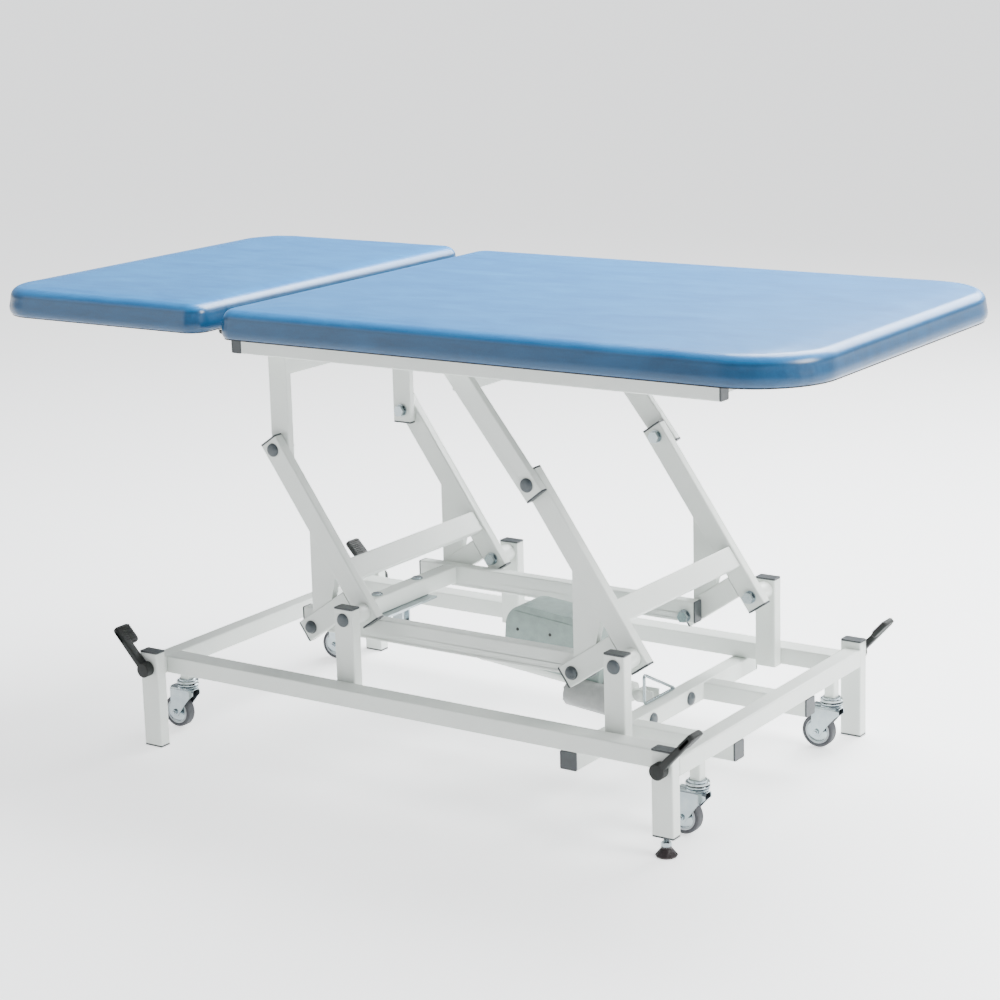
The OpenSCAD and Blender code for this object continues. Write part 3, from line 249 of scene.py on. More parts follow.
class Finish:
    """A material on the Principled shader, built from few calls."""

    def __init__(self, name, colour, roughness=0.5, metallic=0.0, **constants):
        self.material = bpy.data.materials.new(name)
        self.material.use_nodes = True
        self.material.diffuse_color = (*colour, 1)
        self.tree = self.material.node_tree
        self.shader = self.tree.nodes["Principled BSDF"]
        self.shader.inputs["Base Color"].default_value = (*colour, 1)
        self.shader.inputs["Roughness"].default_value = roughness
        self.shader.inputs["Metallic"].default_value = metallic
        for key, value in constants.items():
            self.shader.inputs[key.replace("_", " ").title().replace("Ior", "IOR")].default_value = value
        self.height = None

    def node(self, kind, settings=None, out=0, **inputs):
        """Any other node: its settings are set first, then its sockets' values or links."""
        node = self.tree.nodes.new(kind)
        for key, value in (settings or {}).items():
            setattr(node, key, value)
        for key, value in inputs.items():
            if isinstance(value, Value):
                self.tree.links.new(value.socket, node.inputs[key])
            else:
                node.inputs[key].default_value = value
        return Value(self.tree, node.outputs[out])

    def at(self, scale=(1, 1, 1)):
        """Object coordinates, stretched."""
        coordinates = self.node("ShaderNodeTexCoord", out=3)
        return self.node("ShaderNodeMapping", Vector=coordinates, Scale=scale)

    def upright(self):
        """Height of the surface's own normal: 1 where it faces up, 0 where it stands."""
        split = self.tree.nodes.new("ShaderNodeSeparateXYZ")
        self.tree.links.new(self.node("ShaderNodeTexCoord", out=1).socket, split.inputs[0])
        return Value(self.tree, split.outputs["Z"])

    def noise(self, size, detail=2.0, rough=0.5, stretch=(1, 1, 1), warp=0.0):
        """Noise whose lumps are about size metres wide."""
        return self.node("ShaderNodeTexNoise", Vector=self.at(stretch), Scale=1.0 / size,
                         Detail=detail, Roughness=rough, Distortion=warp)

    def cells(self, size):
        """Distance in a cell pattern whose cells are about size metres wide."""
        return self.node("ShaderNodeTexVoronoi", {"feature": "F1"}, Vector=self.at(), Scale=1.0 / size)

    def mix(self, factor, a, b):
        """Two colours by a factor."""
        node = self.tree.nodes.new("ShaderNodeMix")
        node.data_type = "RGBA"
        for index, term in ((0, factor), (6, a), (7, b)):
            if isinstance(term, Value):
                self.tree.links.new(term.socket, node.inputs[index])
            else:
                node.inputs[index].default_value = term if index == 0 else (*term, 1)
        return Value(self.tree, node.outputs[2])

    def feed(self, socket, value):
        """Links a value into a socket of the shader."""
        self.tree.links.new(value.socket, self.shader.inputs[socket])
        return self

    def bump(self, height, strength=0.3, distance=0.001):
        """Adds a layer of bump over the ones before."""
        node = self.tree.nodes.new("ShaderNodeBump")
        node.inputs["Strength"].default_value = strength
        node.inputs["Distance"].default_value = distance
        self.tree.links.new(height.socket, node.inputs["Height"])
        if self.height is not None:
            self.tree.links.new(self.height.socket, node.inputs["Normal"])
        self.height = Value(self.tree, node.outputs[0])
        self.tree.links.new(node.outputs[0], self.shader.inputs["Normal"])
        return self


def shade(colour, k):
    """A colour made darker or lighter by k."""
    return tuple(min(1.0, c * k) for c in colour)


def powder_coat(colour):
    """Satin powder coat: orange peel a millimetre wide, faint cloudiness, grime in broad patches."""
    f = Finish("powder_coat", colour, 0.38, coat_weight=0.15, coat_roughness=0.25)
    cloud = f.noise(0.16, 3, 0.6)
    f.feed("Base Color", f.mix(cloud.step(0.35, 0.75), shade(colour, 0.965), shade(colour, 1.02)))
    f.feed("Roughness", 0.33 + 0.12 * f.noise(0.05, 2))
    f.bump(f.noise(0.0016, 1), 0.10, 0.0006).bump(f.noise(0.006, 2), 0.06, 0.0012)
    return f.material


def bright_zinc(name, colour, gloss=0.14):
    """Bright zinc plating: bluish and straw tints in soft patches, fine drawing lines, dull spots."""
    f = Finish(name, colour, gloss, 1.0)
    tint = f.noise(0.016, 2, 0.5)
    straw = (colour[0] * 1.06, colour[1] * 1.02, colour[2] * 0.98)
    f.feed("Base Color", f.mix(tint.step(0.3, 0.75), shade(colour, 0.90), straw))
    f.feed("Roughness", gloss + 0.10 * f.noise(0.008, 2, 0.5).step(0.35, 0.8))
    f.bump(f.noise(0.0016, 1, stretch=(1, 1, 5)), 0.03, 0.0004)
    return f.material


def moulded(name, colour, rough=0.5, grain=0.0009, specular=0.5):
    """Moulded plastic: fine spark texture and slight change of gloss."""
    f = Finish(name, colour, rough, specular_ior_level=specular)
    f.feed("Base Color", f.mix(f.noise(0.02, 3, 0.6).step(0.3, 0.75), shade(colour, 0.86), shade(colour, 1.12)))
    f.feed("Roughness", rough - 0.06 + 0.14 * f.noise(0.008, 2))
    f.bump(f.noise(grain, 2, 0.6), 0.22, 0.0004)
    return f.material


def tyre_rubber(name, colour):
    """Grey tyre rubber: dust worn into the tread, faint coarser bumps."""
    f = Finish(name, colour, 0.62)
    dust = f.noise(0.009, 4, 0.65).step(0.42, 0.8)
    f.feed("Base Color", f.mix(dust * 0.5, colour, shade(colour, 1.9)))
    f.feed("Roughness", 0.5 + 0.25 * f.noise(0.005, 2))
    f.bump(f.noise(0.0008, 2), 0.25, 0.0004).bump(f.noise(0.003, 1), 0.1, 0.0008)
    return f.material


def upholstery(name, light, deep, side):
    """Glossy vinyl hide: drifting two-tone cloud, fine scratches along the table and pebble grain on
    top; painted shade on the sides, which take the far darker side blue where the surface stands."""
    f = Finish(name, light, 0.30, coat_weight=0.30, coat_roughness=0.20, specular_ior_level=0.42)
    cloud = f.noise(0.085, 5, 0.62, stretch=(0.55, 1.5, 1), warp=0.6)
    streak = f.noise(0.020, 4, 0.72, stretch=(0.22, 2.4, 1), warp=0.4)
    fleck = f.noise(0.0035, 3, 0.6)
    tone = (cloud * 0.50 + streak * 0.34 + fleck * 0.16).step(0.36, 0.64)
    # Painted shade: where the surface turns from facing up to standing, the base colour goes from the top's blues
    # to the far darker side blue.
    upright = f.upright().step(0.30, 0.80)
    top = f.mix(tone, deep, light)
    sides = f.mix(tone, shade(side, 0.80), shade(side, 1.35))
    f.feed("Base Color", f.mix(upright, sides, top))
    f.feed("Roughness", 0.22 + 0.06 * upright + 0.22 * streak)
    f.bump(f.cells(0.0019), 0.10, 0.0005)
    f.bump(f.noise(0.010, 4, 0.65, stretch=(0.4, 1.6, 1)), 0.10, 0.0012)
    f.bump(f.noise(0.07, 2, stretch=(0.6, 1, 1)), 0.10, 0.003)
    return f.material


def lining(colour):
    """Black non-woven lining under the boards: short fibres and pressed dots."""
    f = Finish("black_lining", colour, 0.9, sheen_weight=0.2)
    dots = f.cells(0.004).step(0.15, 0.4)
    fibres = f.noise(0.0015, 3, 0.7, stretch=(3, 0.6, 1))
    f.feed("Base Color", f.mix(fibres, shade(colour, 0.7), shade(colour, 1.8)))
    f.bump(dots, 0.3, 0.0006).bump(f.noise(0.001, 3), 0.4, 0.0005)
    return f.material


def floor_paint(colour, glow):
    """Plain white studio floor with a light of its own, as a paper sweep has from its lamps."""
    f = Finish("studio_floor", colour, 0.6, emission_strength=glow)
    f.shader.inputs["Emission Color"].default_value = (1.0, 1.0, 1.0, 1)
    f.feed("Roughness", 0.55 + 0.08 * f.noise(0.5, 2))
    return f.material


# Settings

def length(name, description, default):
    """A property that holds a length in metres."""
    return FloatProperty(name=name, description=description, default=default, unit="LENGTH")


def tone(name, description, default):
    """A property that holds a colour."""
    return FloatVectorProperty(name=name, description=description, default=default, subtype="COLOR")


def number(name, description, default):
    """A property that holds a plain number or an angle in degrees."""
    return FloatProperty(name=name, description=description, default=default)


class PadSettings(bpy.types.PropertyGroup):
    """Upholstery of the two sections."""
    thickness: length("Pad thickness", "Height of a pad at its edge", 0.0633)
    crown: length("Crown", "Rise of the crown in the middle", 0.003)
    foot_radius: length("Foot corners", "Plan radius of the corners at the foot end", 0.170)
    head_radius: length("Head corners", "Plan radius of the corners at the head end", 0.115)
    inner_radius: length("Inner corners", "Plan radius of the corners beside the gap", 0.045)
    over: length("Top rounding", "Radius of the rounding at the top edge", 0.026)
    lean: length("Lean", "How far the side leans in below the rounding", 0.003)
    low_round: length("Lower rounding", "Height of the rounding at the lower edge", 0.020)
    foot: length("Pull under", "How far the lower edge is pulled in", 0.008)
    recess: length("Board recess", "Distance of the board's recess from the edge", 0.0185)
    roof: length("Recess height", "Height of the board's recess", 0.0113)
    cell: length("Cloth cell", "Cell of the cloth along straight sides", 0.018)
    corner_cell: length("Corner cell", "Cell of the cloth round the corners", 0.0065)
    pressure: number("Pressure", "Pressure of the foam in the cloth", 1.3)
    swell: length("Swell", "How far a point may move while the pad swells", 0.005)
    slack: number("Slack", "Share of the blown-up cover's shape in the finished pad", 0.25)
    gather: length("Fold depth", "Depth of the small folds at the corners", 0.0010)
    folds: number("Folds", "Folds round a corner of the foot end", 7.0)
    light: tone("Light blue", "Lighter tone of the vinyl", (0.022, 0.235, 0.570))
    deep: tone("Deep blue", "Deeper tone of the vinyl", (0.008, 0.150, 0.420))
    # Side blue is painted shade: far darker than the top tones, it is laid on the pads' standing sides.
    side: tone("Side blue", "Tone of the vinyl on the sides", (0.001, 0.046, 0.118))


class FrameSettings(bpy.types.PropertyGroup):
    """Finishes of the frame."""
    coat: tone("Powder coat", "Colour of the tubes", (0.665, 0.700, 0.665))
    caps: tone("Caps", "Colour of the plastic end caps", (0.036, 0.043, 0.047))
    domes: tone("Dome caps", "Colour of the bolt caps", (0.050, 0.062, 0.070))
    zinc: tone("Zinc", "Colour of the plated steel", (0.36, 0.42, 0.45))
    cap_radius: length("Bolt cap radius", "Radius of a bolt cap", 0.0152)
    cap_height: length("Bolt cap height", "Height of a bolt cap", 0.0073)
    button_height: length("Short arm cap height", "Height of the caps on the short arms", 0.0125)
    mid_cap: length("Bracket cap", "Distance of the bracket bolts' caps from the middle", 0.081)
    edge: length("Tube edge", "Rounding of the tubes' and caps' edges", 0.0008)


class CastorSettings(bpy.types.PropertyGroup):
    """Castors, pedals and the levelling foot."""
    tyre: tone("Tyre", "Colour of the tyres", (0.040, 0.042, 0.048))
    ring: tone("Ring", "Colour of the ring inside the tyre", (0.50, 0.53, 0.56))
    pedal: tone("Pedals", "Colour of the pedals", (0.014, 0.016, 0.015))
    foot: tone("Foot", "Colour of the levelling foot", (0.018, 0.013, 0.014))
    ribs: IntProperty(name="Ribs", description="Ribs on a pedal tread", default=7)
    pedal_lean: number("Pedal lean", "Slope of the pedals' levers in degrees", 47.0)
    fork_inside: length("Fork inside", "Half of the room between a fork's legs", 0.0144)
    fork_sheet: length("Fork sheet", "Thickness of a fork's sheet", 0.0022)
    foot_height: length("Foot height", "Height of the levelling foot's pad and cone", 0.021)
    foot_screw: length("Foot screw", "Radius of the levelling foot's screw", 0.006)


class DriveSettings(bpy.types.PropertyGroup):
    """The linear actuator."""
    housing: tone("Housing", "Colour of the housing", (0.260, 0.330, 0.310))
    motor: tone("Motor", "Colour of the motor", (0.27, 0.28, 0.275))


class StageSettings(bpy.types.PropertyGroup):
    """Floor, room light and camera."""
    glow: number("Floor glow", "Strength of the floor's own light", 1.3)
    room: number("Room light", "Strength of the light from the room", 0.52)
    azimuth: number("Azimuth", "Camera's angle round the table in degrees", 34.31)
    elevation: number("Elevation", "Camera's angle above the floor in degrees", 12.32)
    roll: number("Roll", "Camera's turn about its own view in degrees", -1.63)
    lens: number("Lens", "Focal length in millimetres", 88.58)
    shift_x: number("Shift across", "Shift of the picture across, in its widths", 0.0015)
    shift_y: number("Shift up", "Shift of the picture up, in its widths", -0.0622)
    stand: FloatVectorProperty(name="Camera place", description="Place of the camera", unit="LENGTH",
                               default=(3.0197, -4.3899, 1.863))


def settings(name):
    """The scene's settings group of that name."""
    return getattr(bpy.context.scene, name)


FINISHES = {}


def colour_of(value):
    """A colour property as a plain tuple."""
    return tuple(float(c) for c in value)


def make_finishes():
    """All materials, once."""
    f, c, p, d = settings("table_frame"), settings("table_castors"), settings("table_pads"), settings("table_drive")
    FINISHES.update(
        coat=powder_coat(colour_of(f.coat)),
        caps=moulded("grey_plastic", colour_of(f.caps), 0.42),
        domes=moulded("dome_plastic", colour_of(f.domes), 0.3),
        zinc=bright_zinc("bright_zinc", colour_of(f.zinc)),
        steel=bright_zinc("polished_rod", shade(colour_of(f.zinc), 1.05), 0.12),
        pedal=moulded("pedal_plastic", colour_of(c.pedal), 0.55, 0.0012, 0.28),
        foot=moulded("foot_plastic", colour_of(c.foot), 0.22, 0.002),
        tyre=tyre_rubber("tyre_rubber", colour_of(c.tyre)),
        ring=moulded("wheel_ring", colour_of(c.ring), 0.4),
        # The vinyl's side blue is painted shade on the pads' sides.
        vinyl=upholstery("blue_vinyl", colour_of(p.light), colour_of(p.deep), colour_of(p.side)),
        lining=lining((0.012, 0.012, 0.013)),
        housing=moulded("drive_housing", colour_of(d.housing), 0.36, 0.0014),
        motor=moulded("motor_enamel", colour_of(d.motor), 0.34, 0.0016),
        black=moulded("black_screws", (0.012, 0.012, 0.013), 0.35),
    )


NODE_FINISH = {
    "coat": ["side_rails", "end_crossbars", "corner_posts", "pivot_posts", "pivot_bosses", "low_tubes",
             "actuator_mount", "left_arms", "left_short_arms", "left_tie", "right_arms", "right_short_arms",
             "right_tie", "coupler_tubes", "coupler_cross", "upper_rails", "upper_cross_tubes", "hangers",
             "board_frame", "head_frame", "actuator_tube", "stem_ln", "stem_lf", "stem_rn", "stem_rf"],
    "caps": ["base_caps", "coupler_caps", "upper_caps", "left_plastics", "right_plastics"],
    "domes": ["base_domes"],
    "zinc": ["pivot_bolts", "left_bolts", "right_bolts", "coupler_clevis", "hinge_plates", "wire_stirrup",
             "left_shaft", "right_shaft", "fork_ln", "fork_lf", "fork_rn", "fork_rf"],
    "steel": ["gas_rods", "actuator_rod"],
    "pedal": ["left_pedals", "right_pedals", "gas_cylinders"],
    "foot": ["levelling_foot"],
    "tyre": ["wheel_ln", "wheel_lf", "wheel_rn", "wheel_rf"],
    "vinyl": ["body_cushion", "head_cushion"],
    "lining": ["body_board", "head_board"],
    "housing": ["actuator_housing"],
    "motor": ["actuator_motor"],
}


class TABLE_OT_finishes(bpy.types.Operator):
    """Gives every part of the frame its finish"""
    bl_idname, bl_label = "table.finishes", "Finishes"

    def execute(self, context):
        make_finishes()
        for finish, nodes in NODE_FINISH.items():
            for node in nodes:
                obj = frame["nodes"][node]
                obj.data.materials.clear()
                obj.data.materials.append(FINISHES[finish])
                if finish in ("coat", "caps", "housing", "motor"):
                    weld = obj.modifiers.new("weld", "WELD")
                    weld.merge_threshold = 1e-5
                    ease_edges = obj.modifiers.new("edges", "BEVEL")
                    ease_edges.width, ease_edges.segments = settings("table_frame").edge, 2
                    ease_edges.limit_method, ease_edges.angle_limit = "ANGLE", math.radians(30)
        bare = set(frame["nodes"]) - {n for ns in NODE_FINISH.values() for n in ns}
        if bare:
            raise RuntimeError(f"no finish for {sorted(bare)}")
        return {"FINISHED"}


# Upholstery

def eighth(r):
    """Number of cells in an eighth of a circle of radius r."""
    return max(5, math.ceil(r * math.pi / 4 / settings("table_pads").corner_cell))


def plan_loop(x0, x1, r0, r1, half):
    """Closed plan of a section with its outward normals: quarter circles of radius r1 at x1 and r0
    at x0, joined by straights. It starts in the middle of the corner at x1 and +Y, turns towards
    -X, and has nx cells along X and ny along Y, so that a patch of nx by ny cells fits in it."""
    cell = settings("table_pads").cell
    nx = eighth(r0) + eighth(r1) + math.ceil((x1 - x0 - r0 - r1) / cell)
    ny = max(2 * eighth(r) + math.ceil(2 * (half - r) / cell) for r in (r0, r1))
    corners = [(x1 - r1, half - r1, r1), (x0 + r0, half - r0, r0),
               (x0 + r0, r0 - half, r0), (x1 - r1, r1 - half, r1)]
    points, normals = [], []
    for k in range(4):
        (ax, ay, ar), (bx, by, br) = corners[k], corners[(k + 1) % 4]
        facing = math.pi / 2 * (k + 1)
        lead = facing + np.linspace(-math.pi / 4, 0, eighth(ar) + 1)
        tail = facing + np.linspace(0, math.pi / 4, eighth(br) + 1)[:-1]
        flat = (nx if k % 2 == 0 else ny) - eighth(ar) - eighth(br)
        lead_n, tail_n = (np.stack([np.cos(a), np.sin(a)], -1) for a in (lead, tail))
        lead_p, tail_p = np.array([ax, ay]) + ar * lead_n, np.array([bx, by]) + br * tail_n
        s = np.linspace(0, 1, flat + 1)[1:-1, None]
        points += [lead_p, lead_p[-1] + (tail_p[0] - lead_p[-1]) * s, tail_p]
        normals += [lead_n, np.broadcast_to(lead_n[-1], (flat - 1, 2)), tail_n]
    return np.concatenate(points), np.concatenate(normals), nx, ny


def patch(loop, nx, ny):
    """Grid inside a closed loop of 2 (nx + ny) points: the two surfaces ruled between opposite
    sides are added, and the one ruled between the four corners is taken off."""
    ring = np.concatenate([loop, loop[:1]])
    far, left = ring[:nx + 1][::-1][:, None], ring[nx:nx + ny + 1][::-1][None]
    near, right = ring[nx + ny:2 * nx + ny + 1][:, None], ring[2 * nx + ny:][None]
    u, v = np.linspace(0, 1, nx + 1)[:, None, None], np.linspace(0, 1, ny + 1)[None, :, None]
    ruled = (1 - v) * near + v * far + (1 - u) * left + u * right
    return ruled - ((1 - u) * ((1 - v) * near[:1] + v * far[:1]) + u * ((1 - v) * near[-1:] + v * far[-1:]))


def ease(x, start, stop):
    """0 below start, 1 above stop, and 3 t^2 - 2 t^3 between them."""
    t = np.clip((np.asarray(x, float) - start) / (stop - start), 0, 1)
    return t * t * (3 - 2 * t)


def rim_rows(p):
    """Profile of a pad as (inset, height) from the roof of the board's recess: down the recess, out
    along the underside, a quarter ellipse up to the side, a slight lean, a quarter circle over."""
    a, b = np.radians(np.linspace(0, 90, 7)), np.radians(np.linspace(0, 90, 12))
    under = [(p.recess, p.roof), (p.recess, p.roof / 2), (p.recess, 0), ((p.recess + p.foot) / 2, 0)]
    low_round = np.stack([p.foot * (1 - np.sin(a)), p.low_round * (1 - np.cos(a))], -1)
    middle = [(p.lean * 0.4, p.low_round + 0.4 * (p.thickness - p.over - p.low_round))]
    over = np.stack([p.lean + p.over * (1 - np.cos(b)), p.thickness - p.over * (1 - np.sin(b))], -1)
    return np.concatenate([under, low_round, middle, over])


def pad_shell(p, x0, x1, r0, r1, half, z0):
    """A pad: the profile carried round the plan, a flat roof in the board's recess, and a top patch
    at z = edge + crown (1 - s^4), where s goes from 0 in the middle to 1 at the edge."""
    points, normals, nx, ny = plan_loop(x0, x1, r0, r1, half)
    rows = rim_rows(p)
    rings = points[None] - rows[:, :1, None] * normals[None]
    height = np.broadcast_to((z0 + rows[:, 1])[:, None, None], (len(rows), len(points), 1))
    rings = np.concatenate([rings, height], -1)
    top = patch(rings[-1], nx, ny)
    a, b = np.abs(np.linspace(-1, 1, nx + 1))[:, None], np.abs(np.linspace(-1, 1, ny + 1))[None, :]
    s = np.minimum(1, (a ** 8 + b ** 8) ** (1 / 8))
    top[..., 2] += p.crown * (1 - s ** 4)
    return Shell().grid(rings, wrap_v=True).grid(top).grid(patch(rings[0], nx, ny))


def drawn_in(co, p, x0, x1, r0, r1, half, z0):
    """The pad before it swells: each point of the rim moves in along the plan's normal, and down
    from the top, by a share of the swell that grows with its height above the board."""
    way = np.where(co[:, 0] > (x0 + x1) / 2, 1.0, -1.0)
    r = np.where(way > 0, r1, r0)
    qx = np.maximum(np.abs(co[:, 0] - (x0 + x1) / 2) - ((x1 - x0) / 2 - r), 0)
    qy = np.maximum(np.abs(co[:, 1]) - (half - r), 0)
    far = np.maximum(np.hypot(qx, qy), 1e-6)
    height = co[:, 2] - z0
    inwards = p.swell * ease(height, 0.005, 0.026)
    out = co.copy()
    out[:, 0] -= way * qx / far * inwards
    out[:, 1] -= np.sign(co[:, 1]) * qy / far * inwards
    out[:, 2] -= p.swell * ease(height, 0.026, p.thickness)
    return out


def points_of(mesh):
    """Vertices of a mesh as an array."""
    co = np.zeros(len(mesh.vertices) * 3, np.float32)
    mesh.vertices.foreach_get("co", co)
    return co.reshape(-1, 3).astype(float)


def inflate(obj, start, p, z0):
    """The cover is blown up as cloth for twenty frames from the drawn-in start, held where the board
    grips it; a point that wants to move by m moves by swell tanh(m / swell)."""
    obj.data.vertices.foreach_set("co", start.astype(np.float32).ravel())
    obj.data.update()
    held = obj.vertex_groups.new(name="held")
    held.add(np.flatnonzero(start[:, 2] < z0 + 0.006).tolist(), 1.0, "REPLACE")
    cloth = obj.modifiers.new("cloth", "CLOTH")
    cloth.settings.use_pressure = True
    cloth.settings.uniform_pressure_force = p.pressure
    cloth.settings.vertex_group_mass = "held"
    cloth.settings.effector_weights.gravity = 0.0
    scene = bpy.context.scene
    for count in range(1, 21):
        scene.frame_set(count)
    blown = obj.evaluated_get(bpy.context.evaluated_depsgraph_get())
    move = points_of(blown.data) - start
    obj.modifiers.clear()
    obj.vertex_groups.clear()
    scene.frame_set(1)
    far = np.linalg.norm(move, axis=1, keepdims=True)
    return start + move * p.swell * np.tanh(far / p.swell) / np.maximum(far, 1e-9)


def gathered(co, p, x0, x1, r0, r1, half, z0):
    """Small folds where the cover is pulled round the outer corners: waves of the angle round the
    corner's centre, deepest low on the side, that fade at both ends of the corner."""
    out = co.copy()
    for x, way, r in ((x0, -1, r0), (x1, 1, r1)):
        across = way * (co[:, 0] - (x - way * r))
        along = np.abs(co[:, 1]) - (half - r)
        angle = np.arctan2(along, across)
        inside = (across > 0) & (along > 0) & (np.hypot(across, along) > r - 0.03)
        folds = p.folds * r / 0.17
        wave = 0.5 + 0.5 * np.sin(4 * folds * angle + 1.7 * np.sin(9 * angle + way))
        height = co[:, 2] - z0
        depth = p.gather * wave * np.sin(2 * np.clip(angle, 0, math.pi / 2)) ** 0.5
        depth = depth * ease(height, 0.001, 0.008) * (1 - ease(height, 0.014, 0.046)) * inside
        out[:, 0] -= way * np.cos(angle) * depth
        out[:, 1] -= np.sign(co[:, 1]) * np.sin(angle) * depth
    return out


def make_pad(name, node, body, r0, r1):
    """One cushion in the place of its node: the foam's full shape, with a share of the shape that the
    cloth takes when it is blown up, small folds at the corners, and one smoothing."""
    p = settings("table_pads")
    lo, hi = low(node), high(node)
    plan = (lo[0], hi[0], r0, r1, hi[1], lo[2])
    pad = pad_shell(p, *plan).make(name, [FINISHES["vinyl"]], body, smooth=180)
    full = points_of(pad.data)
    co = full
    blown = inflate(pad, drawn_in(full, p, *plan), p, lo[2])
    co = full + p.slack * (blown - full)
    co = gathered(co, p, *plan)
    pad.data.vertices.foreach_set("co", np.clip(co, lo, hi).astype(np.float32).ravel())
    pad.data.update()
    smooth = pad.modifiers.new("smooth", "SUBSURF")
    smooth.levels = smooth.render_levels = 1
    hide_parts(node)
    return pad


def edge_shell(p, cushion, r0, r1, drop):
    """A black band under a pad that draws a dark line along its bottom: a closed flat band that follows the pad's
    lower edge, out past the board.
    """
    lo, hi = low(cushion), high(cushion)
    points, normals = plan_loop(lo[0], hi[0], r0, r1, hi[1])[:2]
    rows = [(p.foot - 0.0002, lo[2] + 0.0003), (p.foot - 0.0012, lo[2] - 0.0003), (p.foot - 0.0010, lo[2] - drop),
            (p.recess + 0.0004, lo[2] - drop), (p.recess + 0.0004, lo[2] + 0.0003)]
    grid = np.stack([np.concatenate([points - d * normals, np.full((len(points), 1), h)], 1) for d, h in rows])
    return Shell().grid(grid, wrap_u=True, wrap_v=True)


def hem_shell(board, r0, r1):
    """The cover where it is folded under the board: a closed flat band along the board's outline,
    with a cut inner edge that wanders by a millimetre or two, and the staples that hold it."""
    lo, hi = low(board), high(board)
    points, normals = plan_loop(lo[0], hi[0], r0, r1, hi[1])[:2]
    k = np.arange(len(points))
    wander = 0.0016 * np.sin(k * 0.9) + 0.0011 * np.sin(k * 0.37 + 1)
    z = lo[2]
    rows = [(-0.0012 + 0 * k, z + 0.0010), (-0.0008 + 0 * k, z - 0.0004), (0.0015 + 0 * k, z - 0.0009),
            (0.014 + 0 * k, z - 0.0013), (0.0265 + wander, z - 0.0011), (0.0275 + wander, z - 0.0007),
            (0.0275 + wander, z + 0.0002), (0.001 + 0 * k, z + 0.0002)]
    grid = np.stack([np.concatenate([points - d[:, None] * normals, np.full((len(k), 1), h)], 1) for d, h in rows])
    shell = Shell().grid(grid, wrap_u=True, wrap_v=True)
    gone = np.concatenate([[0], np.cumsum(np.linalg.norm(np.diff(points, axis=0), axis=1))])
    for at in np.arange(0.02, gone[-1], 0.055):
        i = int(np.searchsorted(gone, at)) % len(points)
        n = np.array([*normals[i], 0.0])
        t = np.array([-n[1], n[0], 0.0])
        slant = t * 0.97 + n * 0.24
        c = np.array([*points[i], z]) - n * 0.017
        path = [c - slant * 0.0052 + [0, 0, 0.001], c - slant * 0.0050 - [0, 0, 0.0017],
                c + slant * 0.0050 - [0, 0, 0.0017], c + slant * 0.0052 + [0, 0, 0.001]]
        shell.grid(sweep(path, 0.00055, 6), wrap_v=True, ends=(True, True), slot=1)
    return shell


class TABLE_OT_pads(bpy.types.Operator):
    """Makes the two upholstered pads, and the folded and stapled hems under their boards"""
    bl_idname, bl_label = "table.pads", "Pads"

    def execute(self, context):
        p = settings("table_pads")
        inset = p.recess + 0.0015
        for name, body, r0, r1 in (("body", "upper_frame", p.inner_radius, p.foot_radius),
                                   ("head", "head_section", p.head_radius, p.inner_radius)):
            make_pad(name + "_pad", name + "_cushion", body, r0, r1)
            hem = hem_shell(name + "_board", r0 - inset, r1 - inset)
            hem.make(name + "_hem", [FINISHES["vinyl"], FINISHES["zinc"]], body, smooth=50)
            # Under each pad a black band runs out past the board to the pad's lower edge and draws the dark line
            # along the pad's bottom.
            edge = edge_shell(p, name + "_cushion", r0, r1, 0.0020 if name == "body" else 0.0014)
            edge.make(name + "_dark_edge_band", [FINISHES["lining"]], body, smooth=50)
        return {"FINISHED"}


# Castors

def wheel_shell(centre, axle_r=0.004, w=0.024):
    """A wheel about Y: tyre with a rounded tread and a lip, a light ring, a dished disc and a hub."""
    h = w / 2
    tyre = [(0.0288, h - 0.0022), (0.0300, h - 0.0006), (0.0312, h), (0.0342, h), (0.0360, h - 0.0008),
            (0.0371, h - 0.0030), (0.0375, h - 0.0062), (0.0375, 0)]
    ring = [(0.0262, h - 0.0030), (0.0264, h - 0.0014), (0.0272, h - 0.0010), (0.0284, h - 0.0012),
            (0.0288, h - 0.0024)]
    disc = [(0.0086, h - 0.0006), (0.0100, h - 0.0018), (0.0150, h - 0.0026), (0.0215, h - 0.0020),
            (0.0240, h - 0.0010), (0.0255, h - 0.0016), (0.0262, h - 0.0032)]
    hub = [(axle_r + 0.00005, h + 0.0017), (0.0072, h + 0.0017), (0.0084, h + 0.0008), (0.0086, h - 0.0008)]
    shell = Shell()
    for slot, half in ((0, tyre), (1, ring), (2, disc), (2, hub)):
        for s in (1, -1):
            prof = [(a, s * b) for a, b in half]
            shell.grid(place(revolve(prof, 72), centre), wrap_v=True, slot=slot)
    bore = [(axle_r + 0.00005, h + 0.0017), (axle_r + 0.00005, -h - 0.0017)]
    shell.grid(place(revolve(bore, 72), centre), wrap_v=True, slot=2)
    return shell


